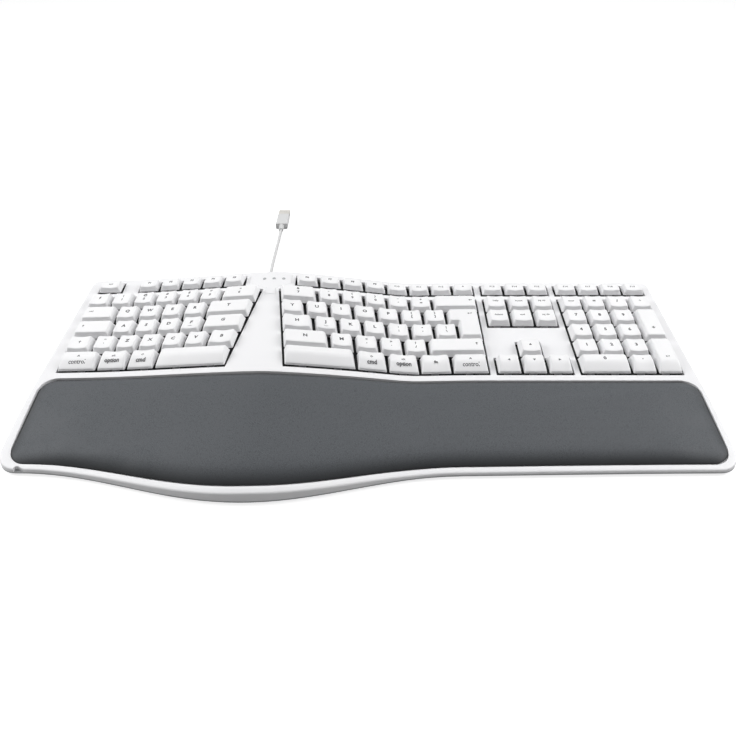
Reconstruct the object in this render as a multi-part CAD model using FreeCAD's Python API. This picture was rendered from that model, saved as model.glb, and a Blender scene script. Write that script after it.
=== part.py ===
import FreeCAD, Part
import math
import os
from FreeCAD import Vector

# Split keyboard with a wave-shaped one-piece case and a padded palm rest.
# Millimetres, +X to the right, +Y to the rear, +Z up.
# The origin lies under the centre of the case, on the table.

os.makedirs("parts", exist_ok=True)

# Overall case: the sides lean in towards the rear, the left one more than the right
left_front = 248.0
left_rear = 239.8
right_front = 243.4
right_rear = 239.0
case_rear = 118.0
front_corner = 14.0
rear_corner = 12.0
case_wall = 2.4
foot_lift = 1.2
floor_thick = 2.0
floor_draft = 1.0
joint_overlap = 0.5

# Wave: where the two key halves meet, how high it stands and how far it runs
crest_x = -78.0
crest_round = 8.0
wave_rise = 18.5
right_flank = 98.0
right_foot_softness = 5.0
left_flank = 105.0
left_foot_softness = 26.0

# Fan of the key rows: arc radius and how far from the crest the rows are bent
fan_radius = 1074.0
fan_reach = 160.0

# Bulge of the front rim: its middle, its depth and its reach, with a long shallow tail on the right
bulge_x = -83.0
front_bulge = 26.1
bulge_left = 150.0
bulge_right = 140.0
bulge_tail = 4.5
tail_reach = 340.0

# Deck plane
deck_height = 18.0
deck_tilt = 0.09
rear_roll_start = 110.0
rear_roll = 0.045

# Key rows, from the front line of the bottom row
row_front = -6.0
bottom_row_depth = 19.0
row_depth = 18.9
function_front = 93.8
function_depth = 14.4

# Key clusters
key_pitch = 18.85
pad_pitch = 19.05
left_edge = -233.5
right_edge = 88.3
navigation_left = 93.6
navigation_pitch = 19.1
pad_left = 156.1
inner_left_front = -106.0
inner_left_rear = -88.5
inner_right_front = -63.4
inner_right_rear = -74.6
opening_margin = 0.5

# Keycaps
key_gap = 1.4
cap_height = 5.7
function_height = 2.9
cap_sink = 2.6
cap_wall = 1.3
cap_roof = 1.6
side_taper = 2.2
front_taper = 1.7
rear_taper = 3.3
corner_cut = 1.6
dish_radius = 26.0
dish_depth = 0.8
dish_limit = 24.0
sloped_front = 7.0
sloped_mid = 0.55
stem_size = 5.0
stem_clearance = 0.25
two_stem_width = 36.0
key_travel = 3.0

# Stack under the keys, measured down from the deck surface
layer_gap = 0.2
guide_top = 6.3
guide_thick = 1.9
stem_stop = 0.5
press_clearance = 1.2
dome_thick = 0.7
membrane_thick = 0.3
plate_thick = 0.7
stack_end = 236.4
stack_front = -9.0
stack_rear = 112.0
stack_gap = 0.8
skirt_thick = 1.5
sheet_inset = 0.4
film_inset = 1.0

# Palm rest
palm_rear = -12.5
palm_front = -87.5
palm_left = -241.2
palm_right = 238.4
palm_corner = 12.0
rim_front = -93.4
rim_height = 5.2
rim_wave_share = 0.27
palm_belly = 1.6
seat_rear_depth = 5.0
seat_front_depth = 1.6
pad_clearance = 0.3
pad_crown = 3.2
pad_roll = 0.7
palm_shell = 2.0

# Centre panel and indicators
panel_front = 81.8
panel_neck = 90.0
panel_shoulder = 98.0
panel_rear = 109.0
panel_inset = 3.5
panel_thick = 1.2
panel_fit = 0.15
lens_radius = 1.3
lens_rise = 0.2
lens_pitch = 8.0
lens_x = -80.5
lens_y0 = 103.8

# Underside
rubber_length = 32.0
rubber_width = 9.0
rubber_seat = 0.8
rubber_corner = 3.0
screw_head_radius = 2.8
screw_head_height = 1.6
screw_shank_radius = 1.2
screw_length = 6.5
screw_fit = 0.1
screw_recess = 0.2
boss_radius = 4.0
post_radius = 3.0
tilt_x = 190.0
tilt_axis_y = 100.0
tilt_length = 24.0
tilt_width = 40.0
tilt_thick = 3.4
tilt_axis_z = 3.3
tilt_pin_radius = 1.2
tilt_pin_length = 2.0
tilt_clearance = 0.35
tilt_pin_fit = 0.08
tilt_rim = 4.0
tilt_web = 1.4
well_wall = 3.0
well_roof = 1.2
well_finger = 1.5
well_play = 0.6

# Controller board
board_x = 20.0
board_y = 82.0
board_length = 62.0
board_width = 34.0
board_thick = 1.6
board_height = 6.2
standoff_radius = 2.5
standoff_inset = 4.0
chip_size = 14.0
chip_thick = 1.4

# Cord
cord_radius = 1.6
cord_exit_x = -97.95
gland_height = 4.6
gland_length = 12.0
gland_base_radius = 3.4
gland_tip_radius = 2.3
collar_radius = 2.7
collar_length = 6.0
collar_fit = 0.1
groove_width = 0.8
groove_step = 2.6
hank_y = 141.0
hank_height = 2.5
hank_run = 62.0
hank_waist = 6.5
hank_step = 4.05
hank_layer = 3.75
hank_min_radius = 8.9
hank_turns = 6
hank_climb = 2.75
tie_width = 9.0
tie_thick = 0.7
tie_play = 0.15
plug_neck = 8.0
plug_length = 26.0
plug_width = 12.5
plug_depth = 6.4
plug_edge = 1.4
neck_wall = 0.7
shell_length = 12.0
shell_width = 12.0
shell_depth = 4.5
shell_wall = 0.4

floor_top = foot_lift + floor_thick
TALL = 90.0


def export(name, shape):
    if isinstance(shape, list):
        shape = shape[0] if len(shape) == 1 else Part.makeCompound(shape)
    shape.exportStep("parts/%s.step" % name)


def prism(wire, low, high):
    wire = wire.copy()
    wire.translate(Vector(0, 0, low))
    return Part.Face(wire).extrude(Vector(0, 0, high - low))


def polygon(points):
    return Part.makePolygon([Vector(*p) for p in points] + [Vector(*points[0])])


def through(points):
    curve = Part.BSplineCurve()
    curve.interpolate([Vector(*p) for p in points])
    return curve.toShape()


def box(x0, x1, y0, y1, z0, z1):
    return Part.makeBox(x1 - x0, y1 - y0, z1 - z0, Vector(x0, y0, z0))


# The wave and the fan as functions of X.
def soft_distance(x):
    return math.hypot(x - crest_x, crest_round) - crest_round


def soft_ramp(run, softness):
    return (run + math.hypot(run, 2 * softness)) / 2


def wave(x):
    if x >= crest_x:
        flank, softness = right_flank, right_foot_softness
    else:
        flank, softness = left_flank, left_foot_softness
    ramp = soft_ramp(flank - soft_distance(x), softness)
    return wave_rise * ramp / soft_ramp(flank, softness)


def bow(x):
    reach = max(0.0, fan_reach - soft_distance(x))
    return reach * reach / (2 * fan_radius)


def bell(share):
    return math.cos(math.pi / 2 * min(1.0, abs(share))) ** 2


def bulge(x):
    """How far the front rim stands forward of its ends."""
    distance = x - bulge_x
    if distance < 0:
        return front_bulge * bell(distance / bulge_left)
    tail = bulge_tail * bell(distance / tail_reach)
    return (front_bulge - bulge_tail) * bell(distance / bulge_right) + tail


def fan_angle(x):
    return math.atan2(bow(x - 0.5) - bow(x + 0.5), 1.0)


# The case's top surface: a tilted deck that carries the wave and falls to the front rim.
def palm_share(y0):
    return min(1.2, max(0.0, (palm_rear - y0) / (palm_rear - rim_front)))


def row_y(x, y0):
    return y0 - bow(x) + (bow(x) - bulge(x)) * palm_share(y0)


def deck_z(x, y):
    return deck_height + deck_tilt * (y - row_front) + wave(x)


def top_z(x, y0):
    share = palm_share(y0)
    deck = deck_z(x, row_y(x, y0))
    if share == 0.0:
        return deck - rear_roll * max(0.0, y0 - rear_roll_start) ** 2
    edge = deck_z(x, row_y(x, palm_rear))
    rim = rim_height + rim_wave_share * wave(x)
    belly = palm_belly * 4 * share * (1 - share)
    return edge + (rim - edge) * share + belly


def seat_z(x, y0):
    front_z = top_z(x, palm_front) - seat_front_depth
    rear_z = top_z(x, palm_rear) - seat_rear_depth
    share = (palm_rear - y0) / (palm_rear - palm_front)
    return rear_z + (front_z - rear_z) * share


# Stations across the case stand closer together near the crest.
stations = [crest_x + 7.0 * k + 0.5 * k * abs(k) for k in range(-14, 21)]
top_rows = [-108, -100, -93, -87, -76, -62, -48, -34, -18, -12, -4]
top_rows += [8, 24, 42, 60, 78, 94, 106, 112, 118, 124]
seat_rows = [-94, -75, -50, -25, -5]


def surface_under(height, rows, offset=0.0, direction=-1):
    grid = []
    for x in stations:
        grid.append([Vector(x, row_y(x, y0), height(x, y0) - offset) for y0 in rows])
    surface = Part.BSplineSurface()
    surface.interpolate(grid)
    return surface.toShape().extrude(Vector(0, 0, direction * TALL))


top_solid = surface_under(top_z, top_rows)
seat_above = surface_under(seat_z, seat_rows, 0.0, 1)
seat_below = surface_under(seat_z, seat_rows, palm_shell)


def lowered(offset):
    solid = top_solid.copy()
    solid.translate(Vector(0, 0, -offset))
    return solid


def layer(wire, upper, lower):
    return prism(wire, 0, TALL).common(lowered(upper)).cut(lowered(lower))


# Plan outlines
def front_edge(x):
    return rim_front - bulge(x)


def rear_edge(x):
    return case_rear - bow(x)


def side_to_side(edge, x0, x1, count, inset):
    points = []
    for k in range(count + 1):
        x = x0 + (x1 - x0) * k / count
        points.append((x, edge(x) + inset, 0))
    return points


def corner(centre_x, centre_y, radius, angle):
    points = []
    for turn in (0, 45, 90):
        a = math.radians(angle + turn)
        points.append(Vector(centre_x + radius * math.cos(a), centre_y + radius * math.sin(a), 0))
    return points


def case_outline(inset):
    """Plan of the case: rounded corners, and sides that lean in towards the rear."""
    rear = rear_corner - inset
    front = front_corner - inset
    fl_x = -left_front + front_corner
    fr_x = right_front - front_corner
    rl_x = -left_rear + rear_corner
    rr_x = right_rear - rear_corner
    front_points = side_to_side(front_edge, fl_x, fr_x, 24, inset)
    rear_points = side_to_side(rear_edge, rr_x, rl_x, 24, -inset)
    fl_y = front_points[0][1]
    fr_y = front_points[-1][1]
    rr_y = rear_points[0][1]
    rl_y = rear_points[-1][1]
    fr = corner(fr_x, fr_y + front, front, 270)
    rr = corner(rr_x, rr_y - rear, rear, 0)
    rl = corner(rl_x, rl_y - rear, rear, 90)
    fl = corner(fl_x, fl_y + front, front, 180)
    edges = [through(front_points), Part.Arc(*fr).toShape(), Part.makeLine(fr[2], rr[0])]
    edges += [Part.Arc(*rr).toShape(), through(rear_points), Part.Arc(*rl).toShape()]
    edges += [Part.makeLine(rl[2], fl[0]), Part.Arc(*fl).toShape()]
    return Part.Wire(edges)


def band_outline(x0_front, x0_rear, x1_front, x1_rear, y0_front, y0_rear):
    """Outline between two row lines, with a straight edge at each end."""
    front = [(x, row_y(x, y0_front), 0) for x in spread(x0_front, x1_front)]
    rear = [(x, row_y(x, y0_rear), 0) for x in spread(x1_rear, x0_rear)]
    edges = [through(front), Part.makeLine(Vector(*front[-1]), Vector(*rear[0]))]
    edges += [through(rear), Part.makeLine(Vector(*rear[-1]), Vector(*front[0]))]
    return Part.Wire(edges)


def spread(start, end):
    count = max(2, int(abs(end - start) / 22))
    return [start + (end - start) * k / count for k in range(count + 1)]


def inner_edge(front_x, rear_x, y0):
    share = (y0 - row_front) / (row_lines["number"][1] - row_front)
    return front_x + (rear_x - front_x) * share


# Key rows: front and rear line of each
row_names = ["bottom", "lower", "home", "top", "number"]
row_lines = {}
line = row_front
for name in row_names:
    depth = bottom_row_depth if name == "bottom" else row_depth
    row_lines[name] = (line, line + depth)
    line += depth
row_lines["function"] = (function_front, function_front + function_depth)
keys_rear = row_lines["number"][1]

# Keys: node name, left edge, right edge, front line, rear line
keys = []


def add_run(row, start, entries):
    """Keys side by side from start; each entry is a node name and a width."""
    front, rear = row_lines[row]
    for node, width in entries:
        keys.append((node, start, start + width, front, rear))
        start += width
    return start


def add_left(row, entries, inner_node):
    end = add_run(row, left_edge, entries)
    middle = sum(row_lines[row]) / 2
    inner = inner_edge(inner_left_front, inner_left_rear, middle)
    add_run(row, end, [(inner_node, inner - end)])


def add_right(row, inner_node, entries):
    middle = sum(row_lines[row]) / 2
    inner = inner_edge(inner_right_front, inner_right_rear, middle)
    start = right_edge - sum(width for node, width in entries)
    add_run(row, inner, [(inner_node, start - inner)])
    add_run(row, start, entries)


add_left("number", [("keys_number_left", 19.5)] + [("keys_number_left", 18.6)] * 5, "keys_number_left")
add_left("top", [("key_tab", 28.5)] + [("keys_top_left", 18.6)] * 4, "keys_top_left")
add_left("home", [("key_caps_lock", 30.5)] + [("keys_home_left", 18.2)] * 4, "keys_home_left")
add_left("lower", [("key_shift_left", 20.5)] + [("keys_lower_left", 18.0)] * 5, "keys_lower_left")
add_left("bottom", [("key_control_left", 30.0), ("key_option_left", 23.0),
                    ("key_command_left", 21.5)], "key_space_left")

enter_upper = 27.4
enter_lower = 19.6
add_right("number", "keys_number_right", [("keys_number_right", key_pitch)] * 5
          + [("key_backspace", 2 * key_pitch)])
add_right("top", "keys_top_right", [("keys_top_right", key_pitch)] * 6 + [("enter", enter_upper)])
add_right("home", "keys_home_right", [("keys_home_right", key_pitch)] * 6 + [("enter", enter_lower)])
add_right("lower", "keys_lower_right", [("keys_lower_right", key_pitch)] * 4
          + [("key_shift_right", 44.7)])
add_right("bottom", "key_space_right", [("key_command_right", 23.3), ("key_option_right", 24.2),
                                        ("key_fn", 24.2), ("key_control_right", 28.0)])
keys = [key for key in keys if key[0] != "enter"]

escape_left = -231.0
escape_width = 20.5
function_left_start = -196.3
function_left_pitch = 18.4
function_right_pitch = 18.75
function_right_end = 87.7
function_right_start = function_right_end - 8 * function_right_pitch
add_run("function", escape_left, [("key_escape", escape_width)])
add_run("function", function_left_start, [("keys_function_left", function_left_pitch)] * 5)
add_run("function", function_right_start, [("keys_function_right", function_right_pitch)] * 8)
add_run("function", navigation_left, [("keys_function_middle", navigation_pitch)] * 3)
add_run("function", pad_left, [("keys_function_pad", pad_pitch)] * 4)

for row in ("top", "number"):
    add_run(row, navigation_left, [("keys_navigation", navigation_pitch)] * 3)
add_run("lower", navigation_left + navigation_pitch, [("key_arrow_up", navigation_pitch)])
add_run("bottom", navigation_left, [("key_arrow_left", navigation_pitch),
                                    ("key_arrow_down", navigation_pitch),
                                    ("key_arrow_right", navigation_pitch)])

add_run("number", pad_left, [("keys_pad_operators", pad_pitch)] * 4)
for row in ("top", "home", "lower"):
    add_run(row, pad_left, [("keys_pad_digits", pad_pitch)] * 3)
add_run("bottom", pad_left, [("key_pad_zero", 2 * pad_pitch), ("key_pad_point", pad_pitch)])
pad_last = pad_left + 3 * pad_pitch
pad_right = pad_left + 4 * pad_pitch
keys.append(("key_pad_plus", pad_last, pad_right, row_lines["home"][0], row_lines["top"][1]))
keys.append(("key_pad_enter", pad_last, pad_right, row_lines["bottom"][0], row_lines["lower"][1]))


class Spot:
    """Place of one key: its centre on the deck, its turn and the deck's slopes there."""

    def __init__(self, x0, x1, y0, y1):
        self.x = (x0 + x1) / 2
        middle = (y0 + y1) / 2
        self.y = row_y(self.x, middle)
        self.turn = fan_angle(self.x)
        self.z = deck_z(self.x, self.y)
        self.slope = (wave(self.x + 3) - wave(self.x - 3)) / 6
        self.half_u = (x1 - x0 - key_gap) / 2
        self.half_v = (y1 - y0 - key_gap) / 2

    def point(self, u, v, level):
        x = self.x + u * math.cos(self.turn) - v * math.sin(self.turn)
        y = self.y + u * math.sin(self.turn) + v * math.cos(self.turn)
        z = self.z + self.slope * (x - self.x) + deck_tilt * (y - self.y) + level
        return (x, y, z)

    def ring(self, plan, level):
        return polygon([self.point(u, v, level) for u, v in plan])


def cut_rectangle(u, v, cut, side=0.0, front=0.0, rear=0.0):
    """Rectangle with cut corners, drawn in at its sides, front and rear."""
    right = u - side
    low = -v + front
    high = v - rear
    return [(-right + cut, low), (right - cut, low), (right, low + cut), (right, high - cut),
            (right - cut, high), (-right + cut, high), (-right, high - cut), (-right, low + cut)]


def plain_rectangle(u, v, side, front, rear):
    return [(-u + side, -v + front), (u - side, -v + front), (u - side, v - rear), (-u + side, v - rear)]


def stem_spots(half_u, half_v):
    if 2 * half_u > two_stem_width:
        return [(-half_u / 2, 0), (half_u / 2, 0)]
    if 2 * half_v > 1.5 * row_depth:
        return [(0, -half_v / 2), (0, half_v / 2)]
    return [(0, 0)]


def post(spot, u, v, half, low, high):
    """Upright square post between two levels of the deck under the key."""
    plan = [(u - half, v - half), (u + half, v - half), (u + half, v + half), (u - half, v + half)]
    wire = polygon([spot.point(a, b, 0)[:2] + (0,) for a, b in plan])
    return prism(wire, spot.point(u, v, low)[2], spot.point(u, v, high)[2])


stem_low = stem_stop - guide_top - guide_thick


def keycap(x0, x1, y0, y1, height, front):
    """Hollow tapered cap with a dished top and one or two guide stems."""
    spot = Spot(x0, x1, y0, y1)
    u, v = spot.half_u, spot.half_v
    low = (height + cap_sink) / (cap_height + cap_sink)
    side = side_taper * low
    rear = rear_taper * low
    top_plan = cut_rectangle(u, v, corner_cut * 0.8, side, front * low, rear)
    sections = [spot.ring(cut_rectangle(u, v, corner_cut * 0.5), -cap_sink)]
    if front == sloped_front:
        share = sloped_mid
        plan = cut_rectangle(u, v, corner_cut * 0.7, side * share, front_taper, rear * share)
        sections.append(spot.ring(plan, share * (height + cap_sink) - cap_sink))
    sections.append(spot.ring(top_plan, height))
    cap = Part.makeLoft(sections, True, True)
    base = plain_rectangle(u, v, cap_wall, cap_wall, cap_wall)
    roof = plain_rectangle(u, v, cap_wall + side, cap_wall + front * low, cap_wall + rear)
    hollow = Part.makeLoft([spot.ring(base, -cap_sink - 0.01), spot.ring(roof, height - cap_roof)],
                           True, True)
    cap = cap.cut(hollow)
    if 2 * u < dish_limit and 2 * v < dish_limit:
        near = Vector(*spot.point(0, -v - 4, height + dish_radius - dish_depth))
        far = Vector(*spot.point(0, v + 4, height + dish_radius - dish_depth))
        cap = cap.cut(Part.makeCylinder(dish_radius, (far - near).Length, near, far - near))
    for a, b in stem_spots(u, v):
        cap = cap.fuse(post(spot, a, b, stem_size / 2, stem_low, height - cap_roof + 0.2))
    return cap


def guide_hole(x0, x1, y0, y1):
    spot = Spot(x0, x1, y0, y1)
    half = stem_size / 2 + stem_clearance
    return [post(spot, a, b, half, -TALL / 3, TALL / 3) for a, b in stem_spots(spot.half_u, spot.half_v)]


# Enter key: two rows deep, wider in its upper row
enter_front, enter_step = row_lines["home"]
enter_rear = row_lines["top"][1]
enter_x0 = right_edge - enter_upper
enter_notch = right_edge - enter_lower


def enter_plan(spot, side, front, rear):
    half = key_gap / 2
    left = enter_x0 - spot.x + half + side
    notch = enter_notch - spot.x + half + side
    right = right_edge - spot.x - half - side
    low = enter_front - (enter_front + enter_rear) / 2 + half + front
    step = enter_step - (enter_front + enter_rear) / 2 + half + front
    high = enter_rear - (enter_front + enter_rear) / 2 - half - rear
    return [(notch, low), (right, low), (right, high), (left, high), (left, step), (notch, step)]


def enter_key():
    spot = Spot(enter_x0, right_edge, enter_front, enter_rear)
    outer = Part.makeLoft([spot.ring(enter_plan(spot, 0, 0, 0), -cap_sink),
                           spot.ring(enter_plan(spot, side_taper, front_taper, rear_taper), cap_height)],
                          True, True)
    wall = cap_wall
    hollow = Part.makeLoft([spot.ring(enter_plan(spot, wall, wall, wall), -cap_sink - 0.01),
                            spot.ring(enter_plan(spot, wall + side_taper, wall + front_taper,
                                                 wall + rear_taper), cap_height - cap_roof)],
                           True, True)
    cap = outer.cut(hollow)
    for u, v in enter_stems(spot):
        cap = cap.fuse(post(spot, u, v, stem_size / 2, stem_low, cap_height - cap_roof + 0.2))
    return cap


def enter_stems(spot):
    u = (enter_notch + right_edge) / 2 - spot.x
    reach = (enter_rear - enter_front) / 4
    return [(u, -reach), (u, reach)]


# Keycap nodes
caps = {}
for node, x0, x1, y0, y1 in keys:
    height = function_height if y0 == function_front else cap_height
    front = sloped_front if y0 == row_front else front_taper
    caps.setdefault(node, []).append(keycap(x0, x1, y0, y1, height, front))
caps["key_enter"] = [enter_key()]
for node in caps:
    export(node, caps[node])

# Openings in the deck, one for each cluster
margin = opening_margin
openings = []


def opening(x0_front, x0_rear, x1_front, x1_rear, y0, y1):
    wire = band_outline(x0_front - margin, x0_rear - margin, x1_front + margin, x1_rear + margin,
                        y0 - margin, y1 + margin)
    openings.append(prism(wire, 0, TALL))


opening(left_edge, left_edge, inner_left_front, inner_left_rear, row_front, keys_rear)
opening(inner_right_front, inner_right_rear, right_edge, right_edge, row_front, keys_rear)
opening(escape_left, escape_left, escape_left + escape_width, escape_left + escape_width,
        *row_lines["function"])
function_left_end = function_left_start + 5 * function_left_pitch
opening(function_left_start, function_left_start, function_left_end, function_left_end,
        *row_lines["function"])
opening(function_right_start, function_right_start, function_right_end, function_right_end,
        *row_lines["function"])
navigation_right = navigation_left + 3 * navigation_pitch
opening(navigation_left, navigation_left, navigation_right, navigation_right, *row_lines["function"])
opening(navigation_left, navigation_left, navigation_right, navigation_right,
        row_lines["top"][0], keys_rear)
arrow_left = navigation_left + navigation_pitch
arrow_right = navigation_left + 2 * navigation_pitch
opening(navigation_left, navigation_left, navigation_right, navigation_right, *row_lines["bottom"])
opening(arrow_left, arrow_left, arrow_right, arrow_right, *row_lines["lower"])
opening(pad_left, pad_left, pad_right, pad_right, *row_lines["function"])
opening(pad_left, pad_left, pad_right, pad_right, row_front, keys_rear)


# Palm cushion and its recess
def cushion_outline(grow):
    """Rounded plan of the cushion, following the rows behind and the rim in front."""
    radius = palm_corner + grow
    left = palm_left + palm_corner
    right = palm_right - palm_corner
    front = [(x, row_y(x, palm_front) - grow, 0) for x in spread(left, right)]
    rear = [(x, row_y(x, palm_rear) + grow, 0) for x in spread(right, left)]
    fr = corner(right, front[-1][1] + radius, radius, 270)
    rr = corner(right, rear[0][1] - radius, radius, 0)
    rl = corner(left, rear[-1][1] - radius, radius, 90)
    fl = corner(left, front[0][1] + radius, radius, 180)
    edges = [through(front), Part.Arc(*fr).toShape(), Part.makeLine(fr[2], rr[0])]
    edges += [Part.Arc(*rr).toShape(), through(rear), Part.Arc(*rl).toShape()]
    edges += [Part.makeLine(rl[2], fl[0]), Part.Arc(*fl).toShape()]
    return Part.Wire(edges)


def cushion_section(x):
    """Cross-section at x: flat underside, drawn-in sides and a crowned top."""
    from_end = min(x - palm_left, palm_right - x)
    draw = 0.0
    if from_end < palm_corner:
        draw = palm_corner - math.sqrt(palm_corner ** 2 - (palm_corner - from_end) ** 2)
    fullness = min(1.0, 0.25 + from_end / 26.0)
    front_y0 = palm_front + draw
    rear_y0 = palm_rear - draw
    y_front = row_y(x, front_y0)
    y_rear = row_y(x, rear_y0)
    low_front = seat_z(x, front_y0) + pad_clearance
    low_rear = seat_z(x, rear_y0) + pad_clearance
    high_front = top_z(x, front_y0) + 0.1
    high_rear = top_z(x, rear_y0) + 0.1
    middle = (y_front + y_rear) / 2
    crown = (high_front + high_rear) / 2 + pad_crown * fullness
    a = Vector(x, y_front + pad_clearance, low_front)
    b = Vector(x, y_rear - pad_clearance, low_rear)
    c = Vector(x, y_rear, (low_rear + high_rear) / 2)
    d = Vector(x, y_rear - pad_roll, high_rear)
    e = Vector(x, middle, crown)
    f = Vector(x, y_front + pad_roll, high_front)
    g = Vector(x, y_front, (low_front + high_front) / 2)
    edges = [Part.makeLine(a, b), Part.Arc(b, c, d).toShape(), Part.Arc(d, e, f).toShape()]
    edges.append(Part.Arc(f, g, a).toShape())
    return Part.Wire(edges)


section_places = [0.0, 0.6, 2.5, 6.0, palm_corner, 26.0]
left_sections = [palm_left + d for d in section_places]
right_sections = [palm_right - d for d in reversed(section_places)]
inner_sections = [-185, -155, -130, -108, -92, -78, -64, -46, -24, 0, 24, 60, 110, 165]
cushion = Part.makeLoft([cushion_section(x) for x in left_sections + inner_sections + right_sections],
                        True, False)
export("palm_cushion", cushion)

# Centre panel: trim behind the seam between the two halves, with three indicator windows
def panel_outline(fit):
    """Plan of the panel: narrow between the halves, wide between the function rows."""
    left = []
    right = []
    for y0 in (panel_front, panel_neck):
        left.append((inner_edge(inner_left_front, inner_left_rear, y0) + panel_inset, y0))
        right.append((inner_edge(inner_right_front, inner_right_rear, y0) - panel_inset, y0))
    for y0 in (panel_shoulder, panel_rear):
        left.append((function_left_end + panel_inset, y0))
        right.append((function_right_start - panel_inset, y0))
    lengthwise = [-fit, -fit, -fit, fit]
    corners = [(x - fit, row_y(x, y0) + grow, 0) for (x, y0), grow in zip(left, lengthwise)]
    others = [(x + fit, row_y(x, y0) + grow, 0) for (x, y0), grow in zip(right, lengthwise)]
    return polygon(corners + others[::-1])


panel = layer(panel_outline(0), 0, panel_thick)
pocket = layer(panel_outline(panel_fit), -TALL / 3, panel_thick + panel_fit)
lenses = []
for k in (-1, 0, 1):
    x = lens_x + k * lens_pitch
    y = row_y(x, lens_y0)
    z = top_z(x, lens_y0)
    window = Part.makeCylinder(lens_radius + panel_fit, TALL, Vector(x, y, 0))
    panel = panel.cut(window)
    lens = Part.makeCylinder(lens_radius, panel_thick + lens_rise, Vector(x, y, z - panel_thick))
    lens = lens.common(lowered(-lens_rise)).cut(lowered(panel_thick))
    lenses.append(lens)
export("centre_panel", panel)
export("indicator_lenses", lenses)

# Top case
outer = prism(case_outline(0), floor_top, TALL).common(top_solid)
deck_cavity = band_outline(-left_front, -left_front, right_front, right_front, stack_front - stack_gap,
                           case_rear - case_wall)
cavity = prism(deck_cavity, 0, TALL).common(prism(case_outline(case_wall), 0, TALL))
cavity = cavity.common(lowered(case_wall))
palm_cavity = band_outline(palm_left + 3, palm_left + 3, palm_right - 3, palm_right - 3,
                           palm_front + 3, palm_rear - 2)
palm_hollow = prism(palm_cavity, 0, TALL).common(seat_below)
top_case = outer.cut(cavity).cut(palm_hollow)
top_case = top_case.cut(prism(cushion_outline(pad_clearance), 0, TALL).common(seat_above))
for cutter in openings:
    top_case = top_case.cut(cutter)
top_case = top_case.cut(pocket)

# Screw bosses hang from the palm shell down to the floor
screw_spots = [(-205, -40), (-140, -40), (-78, -45), (-20, -40), (60, -38), (130, -38), (205, -38)]
for x, y0 in screw_spots:
    y = row_y(x, y0)
    boss = Part.makeCylinder(boss_radius, TALL, Vector(x, y, floor_top))
    lifted = seat_below.copy()
    lifted.translate(Vector(0, 0, palm_shell / 2))
    boss = boss.common(lifted)
    bore = Part.makeCylinder(screw_shank_radius + screw_fit, screw_length + screw_recess + screw_fit,
                             Vector(x, y, foot_lift))
    top_case = top_case.fuse(boss).cut(bore)

# Rear opening for the strain relief
gland_wall_y = max(rear_edge(cord_exit_x - gland_base_radius), rear_edge(cord_exit_x + gland_base_radius))
along = Vector(0, 1, 0)
collar_start = Vector(cord_exit_x, gland_wall_y - collar_length - collar_fit, gland_height)
gland_hole = Part.makeCylinder(collar_radius + collar_fit, 2 * collar_length, collar_start, along)
top_case = top_case.cut(gland_hole)

# Bottom case with its posts, foot wells and recesses
low_wire = case_outline(floor_draft)
low_wire.translate(Vector(0, 0, foot_lift))
high_wire = case_outline(0)
high_wire.translate(Vector(0, 0, foot_lift + floor_draft))
bottom_case = Part.makeLoft([low_wire, high_wire], True, True)
bottom_case = bottom_case.fuse(prism(case_outline(0), foot_lift + floor_draft, floor_top))
bottom_case = bottom_case.cut(gland_hole)

dome_top = key_travel + press_clearance - stem_low
membrane_top = dome_top + dome_thick + layer_gap
plate_top = membrane_top + membrane_thick + layer_gap
plate_low = plate_top + plate_thick

post_spots = []
for x in (-225, -150, -78, -5, 75, 150, 228):
    for y0 in (2, 62):
        post_spots.append((x, y0))
for x, y0 in post_spots:
    pillar = Part.makeCylinder(post_radius, TALL, Vector(x, row_y(x, y0), floor_top - joint_overlap))
    bottom_case = bottom_case.fuse(pillar.common(lowered(plate_low)))


def foot_well(x):
    """Pocket in the floor that holds a folded tilt foot, with its hinge holes."""
    half = tilt_width / 2 + tilt_clearance
    front = tilt_axis_y - tilt_length + tilt_thick / 2 - well_finger
    rear = tilt_axis_y + tilt_thick / 2 + tilt_clearance + well_play
    roof = tilt_axis_z + tilt_thick / 2 + tilt_clearance
    shell = box(x - half - well_wall, x + half + well_wall, front - well_wall, rear + well_wall,
                floor_top - joint_overlap, roof + well_roof)
    hollow = box(x - half, x + half, front, rear, 0, roof)
    reach = half + tilt_pin_length
    pin_start = Vector(x - reach, tilt_axis_y, tilt_axis_z)
    holes = Part.makeCylinder(tilt_pin_radius + tilt_pin_fit, 2 * reach, pin_start, Vector(1, 0, 0))
    return shell, hollow.fuse(holes)


def tilt_foot(x):
    """Flap with a rounded hinge end, a pin at each side and a thicker toe."""
    half = tilt_width / 2
    radius = tilt_thick / 2
    hinge = Vector(x - half, tilt_axis_y, tilt_axis_z)
    barrel = Part.makeCylinder(radius, tilt_width, hinge, Vector(1, 0, 0))
    toe = tilt_axis_y - tilt_length + radius
    under = tilt_axis_z - radius
    blade = box(x - half, x + half, toe, tilt_axis_y, under, tilt_axis_z + radius)
    relief = box(x - half + tilt_rim, x + half - tilt_rim, toe + tilt_rim, tilt_axis_y - tilt_rim,
                 under + tilt_web, tilt_axis_z + 2 * radius)
    pin_reach = half + tilt_pin_length - tilt_pin_fit
    pin = Part.makeCylinder(tilt_pin_radius, 2 * pin_reach, Vector(x - pin_reach, tilt_axis_y, tilt_axis_z),
                            Vector(1, 0, 0))
    return blade.cut(relief).fuse(barrel).fuse(pin).removeSplitter()


for side, node in ((-1, "tilt_foot_left"), (1, "tilt_foot_right")):
    shell, hollow = foot_well(side * tilt_x)
    bottom_case = bottom_case.fuse(shell).cut(hollow)
    export(node, tilt_foot(side * tilt_x))

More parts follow.
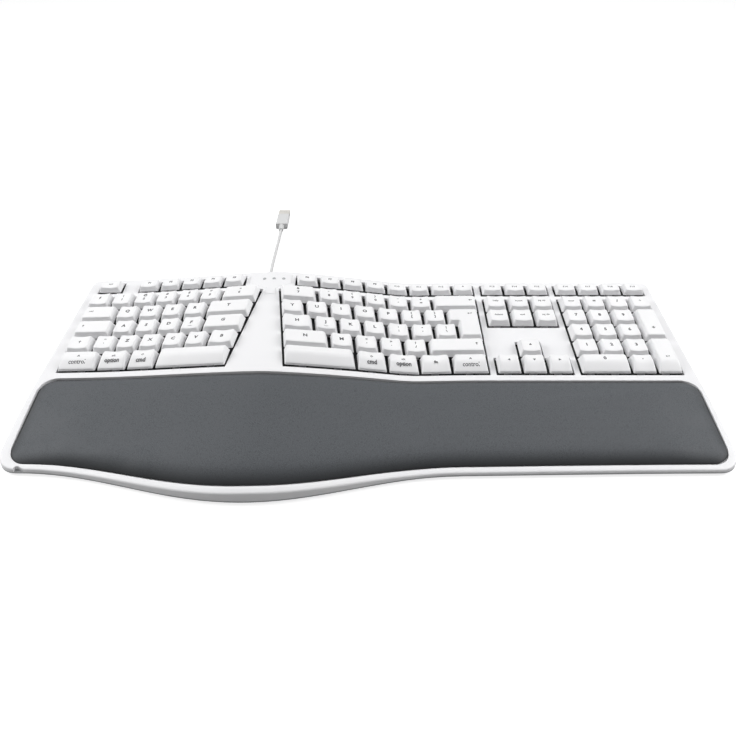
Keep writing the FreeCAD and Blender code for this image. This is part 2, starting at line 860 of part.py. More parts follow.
rubber_spots = [(-212, -78), (212, -78), (-78, -78), (-130, 96), (130, 100)]
rubber_feet = []
for x, y0 in rubber_spots:
    y = row_y(x, y0)
    pad = box(x - rubber_length / 2, x + rubber_length / 2, y - rubber_width / 2, y + rubber_width / 2,
              0, foot_lift + rubber_seat)
    upright = [e for e in pad.Edges if abs(e.BoundBox.ZLength - foot_lift - rubber_seat) < 1e-6]
    pad = pad.makeFillet(rubber_corner, upright)
    bottom_case = bottom_case.cut(pad)
    rubber_feet.append(pad)
export("rubber_feet", rubber_feet)

screws = []
for x, y0 in screw_spots:
    y = row_y(x, y0)
    seat = Vector(x, y, foot_lift + screw_recess)
    head = Part.makeCylinder(screw_head_radius, screw_head_height, seat)
    shank = Part.makeCylinder(screw_shank_radius, screw_length, seat)
    recess = Part.makeCylinder(screw_head_radius + screw_recess, screw_head_height + screw_recess,
                               Vector(x, y, foot_lift))
    clear = Part.makeCylinder(screw_shank_radius + screw_fit, 2 * floor_thick, Vector(x, y, foot_lift))
    bottom_case = bottom_case.cut(recess).cut(clear)
    screws.append(head.fuse(shank).removeSplitter())
export("case_screws", screws)

# Controller board on four standoffs
board = box(board_x - board_length / 2, board_x + board_length / 2, board_y - board_width / 2,
            board_y + board_width / 2, board_height, board_height + board_thick)
for a in (-1, 1):
    for b in (-1, 1):
        spot_x = board_x + a * (board_length / 2 - standoff_inset)
        spot_y = board_y + b * (board_width / 2 - standoff_inset)
        base = floor_top - joint_overlap
        standoff = Part.makeCylinder(standoff_radius, board_height - base, Vector(spot_x, spot_y, base))
        bottom_case = bottom_case.fuse(standoff)
board_top = board_height + board_thick
chip = box(board_x - chip_size / 2, board_x + chip_size / 2, board_y - chip_size / 2,
           board_y + chip_size / 2, board_top, board_top + chip_thick)
socket = box(board_x - 26, board_x - 14, board_y + 8, board_y + 14, board_top, board_top + 2 * chip_thick)
export("controller_board", board.fuse(chip).fuse(socket).removeSplitter())
export("bottom_case", bottom_case.removeSplitter())
export("top_case", top_case)

# Stack under the keys: guide frame, dome sheet, membrane and steel plate
def stack_outline(inset):
    end = stack_end - inset
    return band_outline(-end, -end, end, end, stack_front + inset, stack_rear - inset)


def stack_sheet(inset, upper, lower):
    """Layer under the keys that keeps clear of the case's rounded rear corners."""
    inside = prism(case_outline(case_wall + stack_gap + inset), 0, TALL)
    return layer(stack_outline(inset), upper, lower).common(inside)


guide = stack_sheet(0, guide_top, dome_top - layer_gap)
guide = guide.cut(stack_sheet(skirt_thick, guide_top + guide_thick, dome_top + 2))
holes = []
for node, x0, x1, y0, y1 in keys:
    holes += guide_hole(x0, x1, y0, y1)
enter_spot = Spot(enter_x0, right_edge, enter_front, enter_rear)
for u, v in enter_stems(enter_spot):
    holes.append(post(enter_spot, u, v, stem_size / 2 + stem_clearance, -TALL / 3, TALL / 3))
guide = guide.cut(Part.makeCompound(holes))
export("key_guide_frame", guide)
export("dome_sheet", stack_sheet(sheet_inset, dome_top, dome_top + dome_thick))
export("membrane_sheet", stack_sheet(film_inset, membrane_top, membrane_top + membrane_thick))
export("backing_plate", stack_sheet(sheet_inset, plate_top, plate_low))

# Strain relief: a collar inside the wall and a tapered, ringed sleeve outside it
gland_start = gland_wall_y + collar_fit
gland_end = gland_start + gland_length
collar = Vector(cord_exit_x, gland_start - collar_length, gland_height)
sleeve = Vector(cord_exit_x, gland_start, gland_height)
gland = Part.makeCylinder(collar_radius, collar_length, collar, along)
gland = gland.fuse(Part.makeCone(gland_base_radius, gland_tip_radius, gland_length, sleeve, along))
for k in (1, 2, 3):
    ring_at = Vector(cord_exit_x, gland_start + groove_step * k, gland_height)
    groove = Part.makeCylinder(2 * gland_base_radius, groove_width, ring_at, along)
    core = Part.makeCylinder((gland_tip_radius + cord_radius) / 2, groove_width, ring_at, along)
    gland = gland.cut(groove.cut(core))
export("strain_relief", gland)


# Cord: a short lead, a tied hank close behind the case, and a run back to the plug
def rounded_path(points, start_axis=None):
    """Straight runs joined by the largest tangent arcs that the runs allow."""
    points = [Vector(*p) for p in points]
    edges = []
    radii = []
    last = points[0]
    for k in range(1, len(points) - 1):
        before = points[k] - points[k - 1]
        after = points[k + 1] - points[k]
        turn = before.getAngle(after)
        reach = 0.45 * min(before.Length, after.Length)
        radius = reach / math.tan(turn / 2)
        radii.append(round(radius, 1))
        a = points[k] - before.normalize() * reach
        b = points[k] + after.normalize() * reach
        bisector = (after - before).normalize()
        centre = points[k] + bisector * (radius / math.cos(turn / 2))
        middle = centre - bisector * radius
        edges.append(Part.makeLine(last, a))
        edges.append(Part.Arc(a, middle, b).toShape())
        last = b
    edges.append(Part.makeLine(last, points[-1]))
    return Part.Wire(edges), radii


def tube(path, start, direction):
    ring = Part.Wire([Part.makeCircle(cord_radius, start, direction)])
    return path.makePipeShell([ring], True, False)


def report_tube(name, solid, path):
    ideal = math.pi * cord_radius ** 2 * path.Length
    print("%s: length %.1f, volume ratio %.4f" % (name, path.Length, solid.Volume / ideal))


hank_outer = hank_min_radius + hank_step * (hank_turns - hank_climb)
hank_right = cord_exit_x - hank_min_radius - hank_step * hank_climb
hank_left = hank_right - hank_run


def hank_point(turns):
    """Point and direction of the hank's centre line after a number of turns."""
    radius = hank_min_radius + hank_step * abs(turns - hank_climb)
    phase = turns % 1.0
    climb = min(1.0, max(0.0, (turns - hank_climb + 0.125) / 0.25))
    z = hank_height + hank_layer * climb
    slope = hank_layer / hank_run if 0.0 < climb < 1.0 else 0.0
    if phase < 0.125 or phase > 0.875:
        angle = (phase if phase < 0.5 else phase - 1.0) / 0.125 * math.pi / 2
        point = Vector(hank_right + radius * math.cos(angle), hank_y + radius * math.sin(angle), z)
        return point, Vector(-math.sin(angle), math.cos(angle), slope)
    if 0.375 < phase < 0.625:
        angle = math.pi / 2 + (phase - 0.375) / 0.25 * math.pi
        point = Vector(hank_left + radius * math.cos(angle), hank_y + radius * math.sin(angle), z)
        return point, Vector(-math.sin(angle), math.cos(angle), slope)
    rear = phase < 0.5
    share = (phase - 0.125) / 0.25 if rear else (phase - 0.625) / 0.25
    drawn = hank_waist * (1 - math.cos(2 * math.pi * share)) / 2
    x = hank_right - hank_run * share if rear else hank_left + hank_run * share
    y = hank_y + (radius - drawn if rear else drawn - radius)
    return Vector(x, y, z), Vector(-1 if rear else 1, 0, slope)


def biarc(p0, t0, p1, t1):
    """Two tangent arcs between two points with given directions."""
    t0 = Vector(t0).normalize()
    t1 = Vector(t1).normalize()
    v = p1 - p0
    total = t0 + t1
    square = 2 * (1 - t0.dot(t1))
    linear = v.dot(total)
    length = v.dot(v)
    if square < 1e-9:
        d = length / (2 * linear)
    else:
        d = (-linear + math.sqrt(linear * linear + square * length)) / square
    joint = (p0 + p1 + (t0 - t1) * d) * 0.5
    return [arc_from(p0, t0, joint), arc_from(p1, t1 * -1, joint)]


def arc_from(point, tangent, end):
    """Arc that leaves point along tangent and reaches end, with the point at half its turn."""
    chord = end - point
    along_chord = chord.dot(tangent)
    across = chord - tangent * along_chord
    if across.Length < 1e-6:
        return (point, None, end)
    normal = Vector(across).normalize()
    radius = chord.dot(chord) / (2 * across.Length)
    centre = point + normal * radius
    mid_direction = ((point - centre) + (end - centre)).normalize()
    return (point, centre + mid_direction * radius, end)


def hank_path():
    knots = [k / 8 for k in range(8 * hank_turns + 1)]
    start, start_way = hank_point(0)
    end, end_way = hank_point(hank_turns)
    first = start - Vector(0, 2 * cord_radius, 0)
    last = end + Vector(0, 2 * cord_radius, 0)
    edges = [Part.makeLine(first, start)]
    for k in range(len(knots) - 1):
        p0, t0 = hank_point(knots[k])
        p1, t1 = hank_point(knots[k + 1])
        pair = biarc(p0, t0, p1, t1)
        halves = [pair[0], (pair[1][2], pair[1][1], pair[1][0])]
        for a, middle, b in halves:
            if middle is None:
                edges.append(Part.makeLine(a, b))
            else:
                edges.append(Part.Arc(a, middle, b).toShape())
    edges.append(Part.makeLine(end, last))
    return Part.Wire(edges), first, last


def least_self_gap(path):
    """Smallest gap between stretches of the hank that are not neighbours along it."""
    points = path.discretize(Distance=1.2)
    spacing = path.Length / (len(points) - 1)
    skip = int(8 * cord_radius / spacing) + 1
    least = TALL
    for i in range(len(points)):
        for j in range(i + skip, len(points)):
            gap = (points[i] - points[j]).Length
            if gap < least:
                least = gap
    return least - 2 * cord_radius


path, hank_first, hank_last = hank_path()
hank = tube(path, hank_first, along)
export("cord_hank", hank)
report_tube("cord_hank", hank, path)
print("hank: least self gap %.2f" % least_self_gap(path))
cord_length = path.Length

lead_rise = gland_height - hank_height
lead_span = hank_first.y - gland_end
lead_points = [(cord_exit_x, gland_end, gland_height),
               (cord_exit_x, gland_end + lead_span * 0.24, gland_height),
               (cord_exit_x, gland_end + lead_span * 0.58, hank_height),
               (cord_exit_x, hank_first.y, hank_height)]
path, radii = rounded_path(lead_points)
lead = tube(path, Vector(*lead_points[0]), along)
export("cord_lead", lead)
report_tube("cord_lead", lead, path)
print("lead radii", radii)
cord_length += path.Length

run_points = [(hank_last.x, hank_last.y, hank_last.z), (hank_last.x, 153, hank_last.z),
              (-96.2, 162, 4.1), (-96.4, 173, 1.62), (-96.9, 196, 1.6), (-96.4, 232, 1.6),
              (-96.0, 262, 1.6), (-96.0, 276, 1.6)]
path, radii = rounded_path(run_points)
run_start = Vector(*run_points[0])
run = tube(path, run_start, along)
export("cord_run", run)
report_tube("cord_run", run, path)
print("run radii", radii)
cord_length += path.Length
print("cord length %.0f" % cord_length)

# Tie round the waist of the hank
waist_x = (hank_left + hank_right) / 2
waist_rear = hank_outer - hank_waist + cord_radius + tie_play
tie_low = hank_height - cord_radius - tie_play
tie_high = hank_height + hank_layer + cord_radius + tie_play
band_outer = box(waist_x - tie_width / 2, waist_x + tie_width / 2, hank_y - waist_rear - tie_thick,
                 hank_y + waist_rear + tie_thick, tie_low - tie_thick, tie_high + tie_thick)
band_inner = box(waist_x - tie_width, waist_x + tie_width, hank_y - waist_rear, hank_y + waist_rear,
                 tie_low, tie_high)
lengthwise = [e for e in band_outer.Edges if abs(e.BoundBox.XLength - tie_width) < 1e-6]
band_outer = band_outer.makeFillet(2.0, lengthwise)
lengthwise = [e for e in band_inner.Edges if abs(e.BoundBox.XLength - 2 * tie_width) < 1e-6]
band_inner = band_inner.makeFillet(2.0 - tie_thick, lengthwise)
export("hank_tie", band_outer.cut(band_inner))

# Plug: moulded grip with a neck, and its folded steel shell
plug_x, plug_y, neck_z = run_points[-1]
plug_z = plug_depth / 2
grip_y = plug_y + plug_neck
shell_y = grip_y + plug_length
grip = box(plug_x - plug_width / 2, plug_x + plug_width / 2, grip_y, shell_y, 0, plug_depth)
grip_edges = [e for e in grip.Edges if abs(e.BoundBox.YLength - plug_length) < 1e-6]
grip = grip.makeFillet(plug_edge, grip_edges)
neck_start = Vector(plug_x, plug_y, neck_z + neck_wall)
neck_end = Vector(plug_x, grip_y + joint_overlap, plug_z)
neck_wires = [Part.Wire([Part.makeCircle(cord_radius + neck_wall, neck_start, along)]),
              Part.Wire([Part.makeCircle(plug_depth / 2 - neck_wall / 2, neck_end, along)])]
neck = Part.makeLoft(neck_wires, True, True)
export("plug_body", grip.fuse(neck).removeSplitter())
shell = box(plug_x - shell_width / 2, plug_x + shell_width / 2, shell_y, shell_y + shell_length,
            plug_z - shell_depth / 2, plug_z + shell_depth / 2)
bore_half = shell_width / 2 - shell_wall
bore_low = plug_z - shell_depth / 2 + shell_wall
bore_high = plug_z + shell_depth / 2 - shell_wall
bore = box(plug_x - bore_half, plug_x + bore_half, shell_y + 2 * shell_wall, shell_y + 2 * shell_length,
           bore_low, bore_high)
tongue = box(plug_x - bore_half, plug_x + bore_half, shell_y + shell_wall,
             shell_y + shell_length - shell_wall, bore_low - shell_wall / 2, plug_z)
export("plug_shell", shell.cut(bore).fuse(tongue).removeSplitter())
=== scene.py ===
import math
import bpy
import bmesh
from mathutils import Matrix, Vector


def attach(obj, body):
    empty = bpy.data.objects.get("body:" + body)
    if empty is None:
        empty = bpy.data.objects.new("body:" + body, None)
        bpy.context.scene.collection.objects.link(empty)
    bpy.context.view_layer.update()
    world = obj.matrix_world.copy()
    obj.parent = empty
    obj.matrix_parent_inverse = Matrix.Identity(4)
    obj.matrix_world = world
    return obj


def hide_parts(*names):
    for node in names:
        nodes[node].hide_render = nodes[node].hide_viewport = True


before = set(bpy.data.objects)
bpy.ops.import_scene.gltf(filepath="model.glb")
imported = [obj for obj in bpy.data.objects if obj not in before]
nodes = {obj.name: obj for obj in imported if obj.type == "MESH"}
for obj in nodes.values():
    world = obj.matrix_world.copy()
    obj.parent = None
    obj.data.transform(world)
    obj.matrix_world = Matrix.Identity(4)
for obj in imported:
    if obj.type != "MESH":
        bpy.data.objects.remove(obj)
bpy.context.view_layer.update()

MM = 0.001


# Bottom case: the flat floor pan of the keyboard, injection moulded in pale grey plastic.
# Seven screws pull it up against the white shell. Its faces carry a fine eroded grain.
def feed(tree, node, given):
    """Wire or set a node's inputs, each picked by its name or number."""
    for label, value in given.items():
        if isinstance(value, bpy.types.NodeSocket):
            tree.links.new(value, node.inputs[label])
        else:
            node.inputs[label].default_value = value
    return node


def add(tree, kind, given, **settings):
    node = tree.nodes.new(kind)
    for name, value in settings.items():
        setattr(node, name, value)
    return feed(tree, node, given)


def position(tree):
    return tree.nodes.new("ShaderNodeTexCoord").outputs["Object"]


def mixed(tree, factor, low, high):
    return add(tree, "ShaderNodeMix", {0: factor, 6: low, 7: high}, data_type="RGBA").outputs[2]


def ranged(tree, value, low, high, new_low, new_high):
    return add(tree, "ShaderNodeMapRange", {"Value": value, "From Min": low, "From Max": high,
                                            "To Min": new_low, "To Max": new_high}).outputs["Result"]


def noise(tree, place, scale, detail, roughness=0.5):
    return add(tree, "ShaderNodeTexNoise", {"Vector": place, "Scale": scale, "Detail": detail,
                                            "Roughness": roughness}).outputs["Fac"]


def bumped(tree, height, distance, strength=1.0, **under):
    return add(tree, "ShaderNodeBump", {"Height": height, "Distance": distance, "Strength": strength,
                                        **under}).outputs["Normal"]


def new_group(name, inputs):
    """Group with the given inputs that puts out a surface's colour, roughness and normal."""
    group = bpy.data.node_groups.new(name, "ShaderNodeTree")
    for label, value in inputs.items():
        kind = "Float" if isinstance(value, float) else {3: "Vector", 4: "Color"}[len(value)]
        socket = group.interface.new_socket(label, in_out="INPUT", socket_type="NodeSocket" + kind)
        socket.default_value = value
    for label, kind in (("Colour", "Color"), ("Roughness", "Float"), ("Normal", "Vector")):
        group.interface.new_socket(label, in_out="OUTPUT", socket_type="NodeSocket" + kind)
    return group, group.nodes.new("NodeGroupInput").outputs, group.nodes.new("NodeGroupOutput")


def new_material(name):
    material = bpy.data.materials.new(name)
    material.use_nodes = True
    return material, material.node_tree, material.node_tree.nodes["Principled BSDF"]


def from_group(name, group, given, **extra):
    """Material whose surface comes from a group, with further shader inputs."""
    material, tree, shader = new_material(name)
    made = add(tree, "ShaderNodeGroup", given, node_tree=group).outputs
    feed(tree, shader, {"Base Color": made["Colour"], "Roughness": made["Roughness"], "Normal": made["Normal"]})
    feed(tree, shader, {label.replace("_", " "): value for label, value in extra.items()})
    return material


def colour(r, g, b):
    return (r, g, b, 1.0)


moulded, given, made = new_group("Moulded grain", {
    "Colour": colour(0.8, 0.8, 0.8), "Shade": colour(0.7, 0.7, 0.7), "Grains per metre": 1500.0,
    "Grain height": 0.00002, "Cloud per metre": 22.0, "Smoothest": 0.4, "Roughest": 0.55})
cloud = noise(moulded, position(moulded), given["Cloud per metre"], 3.0)
grit = noise(moulded, position(moulded), given["Grains per metre"], 2.0)
feed(moulded, made, {
    "Colour": mixed(moulded, ranged(moulded, cloud, 0.35, 0.75, 0.0, 1.0), given["Colour"], given["Shade"]),
    "Roughness": ranged(moulded, cloud, 0.3, 0.7, given["Smoothest"], given["Roughest"]),
    "Normal": bumped(moulded, grit, given["Grain height"])})


def moulded_plastic(name, base, shade, grains=1500.0, height=0.00002, cloud=22.0, smooth=0.4, rough=0.55,
                    **extra):
    return from_group(name, moulded, {"Colour": base, "Shade": shade, "Grains per metre": grains,
                                      "Grain height": height, "Cloud per metre": cloud, "Smoothest": smooth,
                                      "Roughest": rough}, **extra)


def dress(node, material):
    """Give a node of the frame its finish."""
    for holder in nodes[node].material_slots:
        holder.material = material


floor_grey = moulded_plastic("floor_grey_plastic", colour(0.42, 0.43, 0.44), colour(0.38, 0.39, 0.40),
                             grains=1100.0, height=0.00004)
dress("bottom_case", floor_grey)

# Tilt feet: two flaps on moulded pins that fold into wells in the floor pan.
# They are moulded in the same pale grey as the pan, in a smoother grain.
foot_grey = moulded_plastic("tilt_foot_plastic", colour(0.46, 0.47, 0.48), colour(0.42, 0.43, 0.44),
                            grains=2000.0, height=0.00002, smooth=0.35, rough=0.5)
dress("tilt_foot_left", foot_grey)
dress("tilt_foot_right", foot_grey)

# Rubber pads: five soft grey blocks glued into shallow seats of the floor pan.
# Their faces are matt, with lint and fine dust caught in the pores.
pad_rubber = moulded_plastic("pad_rubber", colour(0.09, 0.09, 0.095), colour(0.14, 0.14, 0.14),
                             grains=2600.0, height=0.00005, cloud=140.0, smooth=0.75, rough=0.95)
dress("rubber_feet", pad_rubber)

# Backing plate: thin zinc-plated steel sheet that stiffens the key field.
# The rolling marks run along its length.
plated, given, made = new_group("Plated metal", {
    "Colour": colour(0.6, 0.6, 0.6), "Stain": colour(0.45, 0.45, 0.45), "Marks per metre": 900.0,
    "Stretch": (1.0, 1.0, 1.0), "Mark depth": 0.00001})
stretched = add(plated, "ShaderNodeVectorMath", {0: position(plated), 1: given["Stretch"]},
                operation="MULTIPLY")
marks = noise(plated, stretched.outputs["Vector"], given["Marks per metre"], 4.0, 0.6)
stain = ranged(plated, noise(plated, position(plated), 120.0, 4.0, 0.6), 0.45, 0.7, 0.0, 1.0)
feed(plated, made, {"Colour": mixed(plated, stain, given["Colour"], given["Stain"]),
                    "Roughness": ranged(plated, marks, 0.3, 0.7, 0.22, 0.45),
                    "Normal": bumped(plated, marks, given["Mark depth"])})


def plated_metal(name, base, stain, marks, stretch):
    return from_group(name, plated, {"Colour": base, "Stain": stain, "Marks per metre": marks,
                                     "Stretch": stretch}, Metallic=1.0)


sheet_steel = plated_metal("rolled_sheet_steel", colour(0.58, 0.59, 0.60), colour(0.48, 0.48, 0.48), 700.0,
                           (0.04, 1.0, 1.0))
dress("backing_plate", sheet_steel)

# Controller board: green laminate with a chip and a cord socket, on four standoffs.
# The solder mask shows the copper runs under it as paler streaks.
def printed_runs(name, first, second, line, scale, width, gloss, cloud):
    """Material with a brick pattern of thin raised lines."""
    material, tree, shader = new_material(name)
    runs = add(tree, "ShaderNodeTexBrick", {"Vector": position(tree), "Color1": first, "Color2": second,
                                            "Mortar": line, "Scale": scale, "Mortar Size": width}).outputs
    feed(tree, shader, {"Base Color": runs["Color"], "Normal": bumped(tree, runs["Fac"], 0.00002),
                        "Roughness": ranged(tree, noise(tree, position(tree), cloud, 2.0), 0.3, 0.7, *gloss)})
    return material


board_green = printed_runs("board_solder_mask", colour(0.02, 0.12, 0.05), colour(0.025, 0.16, 0.06),
                           colour(0.06, 0.26, 0.10), 160.0, 0.06, (0.25, 0.4), 300.0)
dress("controller_board", board_green)

# Membrane: clear printed film over the steel plate, with grey conductor tracks.
# The tracks run along the rows and cross them every key.
film = printed_runs("membrane_film", colour(0.60, 0.64, 0.62), colour(0.56, 0.60, 0.58),
                    colour(0.24, 0.25, 0.26), 53.0, 0.03, (0.15, 0.3), 60.0)
dress("membrane_sheet", film)

# Dome sheet: milky silicone sheet whose domes push the keys back up.
# The silicone is faintly cloudy and takes a soft sheen.
silicone = moulded_plastic("milky_silicone", colour(0.62, 0.64, 0.64), colour(0.54, 0.56, 0.56), grains=900.0,
                           height=0.00001, cloud=60.0, smooth=0.45, rough=0.6, Subsurface_Weight=0.2,
                           Subsurface_Scale=0.001)
dress("dome_sheet", silicone)

# Guide frame: dark moulded frame with one square hole for each key stem.
# Its near-black colour is partly painted shade, standing in for the deep shadow in the gaps between the
# keycaps.
guide_dark_and_shade = moulded_plastic("guide_dark_plastic_and_shade", colour(0.018, 0.018, 0.02), colour(0.03, 0.03, 0.032),
                             grains=1300.0, height=0.00003, smooth=0.5, rough=0.7)
dress("key_guide_frame", guide_dark_and_shade)


# Top case: the white one-piece shell, whose deck rises in a wave between the two key halves.
# It is injection moulded with a fine satin grain. Its outer edge is rolled, and the edges of
# the key openings and of the palm recess are broken with a small radius.
crest_x, crest_round, wave_rise = -78.0, 8.0, 18.5
fan_radius, fan_reach = 1074.0, 160.0
bulge_x, front_bulge, bulge_left, bulge_right, bulge_tail, tail_reach = -83.0, 26.1, 150.0, 140.0, 4.5, 340.0
deck_height, deck_tilt, row_front = 18.0, 0.09, -6.0
palm_front, palm_rear, palm_left, palm_right, palm_corner = -89.0, -12.5, -241.2, 238.4, 12.0
rim_front, wall_out, rear_land = -93.4, 2.4, 115.6
rear_fall, rear_fall_from = 0.045, 110.0
rim_height, rim_wave, palm_arch, front_step, rear_step = 5.2, 0.27, 6.4, 1.6, 5.0
front_corner, rear_corner = 11.6, 9.6
front_turn, rear_turn = rim_front + wall_out + front_corner, rear_land - rear_corner
recess_gap, seam_start, block_depth = 0.3, -12.0, 94.6
left_inner, right_inner = (-106.0, -88.5), (-63.4, -74.6)


def soft_distance(x):
    return math.hypot(x - crest_x, crest_round) - crest_round


def soft_ramp(run, softness):
    return (run + math.hypot(run, 2 * softness)) / 2


def wave(x):
    flank, softness = (98.0, 5.0) if x >= crest_x else (105.0, 26.0)
    return wave_rise * soft_ramp(flank - soft_distance(x), softness) / soft_ramp(flank, softness)


def bow(x):
    reach = max(0.0, fan_reach - soft_distance(x))
    return reach * reach / (2 * fan_radius)


def bell(share):
    return math.cos(math.pi / 2 * min(1.0, abs(share))) ** 2


def bulge(x):
    distance = x - bulge_x
    if distance < 0:
        return front_bulge * bell(distance / bulge_left)
    return (front_bulge - bulge_tail) * bell(distance / bulge_right) + bulge_tail * bell(distance / tail_reach)


def palm_share(y0):
    return min(1.2, max(0.0, (palm_rear - y0) / (palm_rear - rim_front)))


def row_y(x, y0):
    return y0 - bow(x) + (bow(x) - bulge(x)) * palm_share(y0)


def deck_z(x, y):
    return deck_height + deck_tilt * (y - row_front) + wave(x)


def top_z(x, y0):
    """Top of the shell: the deck behind, and in front a hollow slope down to the rim."""
    share = palm_share(y0)
    deck = deck_z(x, row_y(x, y0))
    if share == 0.0:
        return deck - rear_fall * max(0.0, y0 - rear_fall_from) ** 2
    edge = deck_z(x, row_y(x, palm_rear))
    rim = rim_height + rim_wave * wave(x)
    return edge + (rim - edge) * share + palm_arch * share * (1 - share)


def seat_z(x, y0):
    """Floor of the palm recess."""
    front_z, rear_z = top_z(x, palm_front) - front_step, top_z(x, palm_rear) - rear_step
    return rear_z + (front_z - rear_z) * (palm_rear - y0) / (palm_rear - palm_front)


def inner_edge(ends, y0):
    """Edge of a key half beside the seam, from its x at the front and at the rear."""
    return ends[0] + (ends[1] - ends[0]) * (y0 - row_front) / block_depth


def along_points(y0, points):
    """Straight-line reading between (y0, x) points."""
    if y0 <= points[0][0]:
        return points[0][1]
    for (a, xa), (b, xb) in zip(points, points[1:]):
        if y0 <= b:
            return xa + (xb - xa) * (y0 - a) / (b - a)
    return points[-1][1]


left_lip = [(seam_start, inner_edge(left_inner, seam_start) + 0.5), (89.1, -87.9), (93.3, -103.8)]
left_seam = [(seam_start, inner_edge(left_inner, seam_start) + 3.35), (90.0, -84.9), (98.0, -100.95)]
right_seam = [(seam_start, inner_edge(right_inner, seam_start) - 3.35), (90.0, -78.1), (98.0, -65.65)]
right_lip = [(seam_start, inner_edge(right_inner, seam_start) - 0.5), (89.1, -75.2), (93.3, -62.8)]


def side_rim(x, y0):
    """Edge of the land at one side: the sides of the case lean in towards the rear."""
    share = min(1.0, max(0.0, (y0 - front_turn) / (rear_turn - front_turn)))
    return 241.0 - 4.4 * share if x > 0 else 245.6 - 8.2 * share


def leaning(x):
    """Column that keeps its share of the land between the last opening and the side."""
    recess_end = recess_gap + (palm_right if x > 0 else -palm_left)

    def place(y0):
        marks = [(221.0, 221.0), (236.3, recess_end)] if y0 < seam_start else [(234.0, 234.0)]
        if abs(x) <= marks[0][0]:
            return x
        return math.copysign(along_points(abs(x), marks + [(238.6, side_rim(x, y0))]), x)
    return place


def blend_of(first, second, share):
    return lambda y0: along_points(y0, first) * (1 - share) + along_points(y0, second) * share


end_columns = [221.0, 224.0, 226.4, 227.8, 229.5, 231.3, 232.8, 234.0, 235.2, 236.3, 237.2, 238.1,
               238.45, 238.6]
fixed_columns = [-x for x in reversed(end_columns)] + [-231.5]
fixed_columns += [-216, -210.0, -203, -196.8, -188, -179, -170, -161, -152, -143, -134, -126, -119, -113]
fixed_columns += [-57, -51, -44, -37, -30, -22, -14, -6, 3, 12, 21, 31, 41, 51, 61, 71, 80, 88.2, 88.8, 93.1]
fixed_columns += [102.6, 112.2, 122.2, 132.3, 141.8, 151.4, 155.6, 165, 175, 185, 195, 205, 214] + end_columns
columns = [("x%g" % x, leaning(x)) for x in fixed_columns]
columns += [("f%d" % k, blend_of([(seam_start, -113.0)], left_lip, k / 3)) for k in (1, 2)]
columns += [("left lip", blend_of(left_lip, left_lip, 0))]
columns += [("seam%d" % k, blend_of(left_seam, right_seam, k / 10)) for k in range(11)]
columns += [("right lip", blend_of(right_lip, right_lip, 0))]
columns += [("g1", blend_of(right_lip, [(seam_start, -57.0)], 0.5))]
columns.sort(key=lambda column: column[1](50.0))
column_at = {name: k for k, (name, place_of) in enumerate(columns)}

recess_inner = [0.16, 0.33, 0.5, 0.67, 0.84]
rear_rows = [-9.4, -6.5, 4, 12.5, 13.5, 23, 32.4, 41, 50.3, 60, 70, 81.65, 89.1, 90, 93.3, 98, 103, 108.7]
rear_rows += [109.15, 111, 112.4, 113.8, 115.6]
row_names = ["rim", "recess front"] + ["recess %g" % s for s in recess_inner] + ["recess rear"]
row_names += ["y%g" % y0 for y0 in rear_rows]
row_at = {name: k for k, name in enumerate(row_names)}


def rounded(x, flat, radius):
    over = max(0.0, abs(x) - flat)
    return radius - math.sqrt(max(0.0, radius * radius - over * over)) if over < radius else radius


def corner_start(x, rear):
    """Where the case's corner begins to turn."""
    if rear:
        return 227.0 if x > 0 else 227.8
    return 229.4 if x > 0 else 234.0


def row_place(x, name):
    low = rim_front + wall_out + rounded(x, corner_start(x, False), front_corner)
    high = rear_land - rounded(x, corner_start(x, True), rear_corner)
    draw = rounded(x, (palm_right if x > 0 else -palm_left) - palm_corner, palm_corner + recess_gap)
    recess_low, recess_high = palm_front - recess_gap + draw, palm_rear + recess_gap - draw
    if name == "rim":
        return low
    if name == "recess front":
        return max(low, recess_low)
    if name == "recess rear":
        return recess_high
    if name.startswith("recess"):
        return recess_low + (recess_high - recess_low) * float(name.split()[1])
    return min(high, float(name[1:]))


grid = []
for name, place_of in columns:
    line = []
    for row in row_names:
        x = place_of(seam_start)
        for step in range(3):
            y0 = row_place(x, row)
            x = place_of(y0)
        line.append((x, y0))
    grid.append(line)


def window(left, right, front, rear):
    return (column_at[left], column_at[right], row_at[front], row_at[rear])


openings = [
    window("x-234", "left lip", "y-6.5", "y89.1"), window("right lip", "x88.8", "y-6.5", "y89.1"),
    window("x-231.5", "x-210", "y93.3", "y108.7"), window("x-196.8", "left lip", "y93.3", "y108.7"),
    window("right lip", "x88.2", "y93.3", "y108.7"), window("x93.1", "x151.4", "y93.3", "y108.7"),
    window("x93.1", "x151.4", "y50.3", "y89.1"), window("x93.1", "x151.4", "y-6.5", "y13.5"),
    window("x112.2", "x132.3", "y12.5", "y32.4"), window("x155.6", "x232.8", "y93.3", "y108.7"),
    window("x155.6", "x232.8", "y-6.5", "y89.1")]
recess = window("x-236.3", "x236.3", "recess front", "recess rear")
pocket = window("seam0", "seam10", "y81.65", "y109.15")


def within(cell, area):
    return area[0] <= cell[0] < area[1] and area[2] <= cell[1] < area[3]


def cell_kind(i, j):
    if not (0 <= i < len(columns) - 1 and 0 <= j < len(row_names) - 1):
        return "outside"
    if any(within((i, j), area) for area in openings):
        return "open"
    if within((i, j), recess):
        return "recess"
    return "pocket" if within((i, j), pocket) else "land"


shell = bmesh.new()
shell_points = {}


def shell_point(layer, i, j):
    if (layer, i, j) not in shell_points:
        x, y0 = grid[i][j]
        top = top_z(x, y0)
        z = {"land": top, "recess": seat_z(x, y0), "pocket": top - 1.35, "under": top - 2.4}[layer]
        if layer == "under" and y0 < -11.0:
            z = min(z, seat_z(x, y0) - 2.0)
        shell_points[layer, i, j] = shell.verts.new((x * MM, row_y(x, y0) * MM, z * MM))
    return shell_points[layer, i, j]


def add_face(mesh, corners):
    kept = [v for k, v in enumerate(corners) if v not in corners[:k]]
    if len(kept) > 2 and not mesh.faces.get(kept):
        mesh.faces.new(kept)


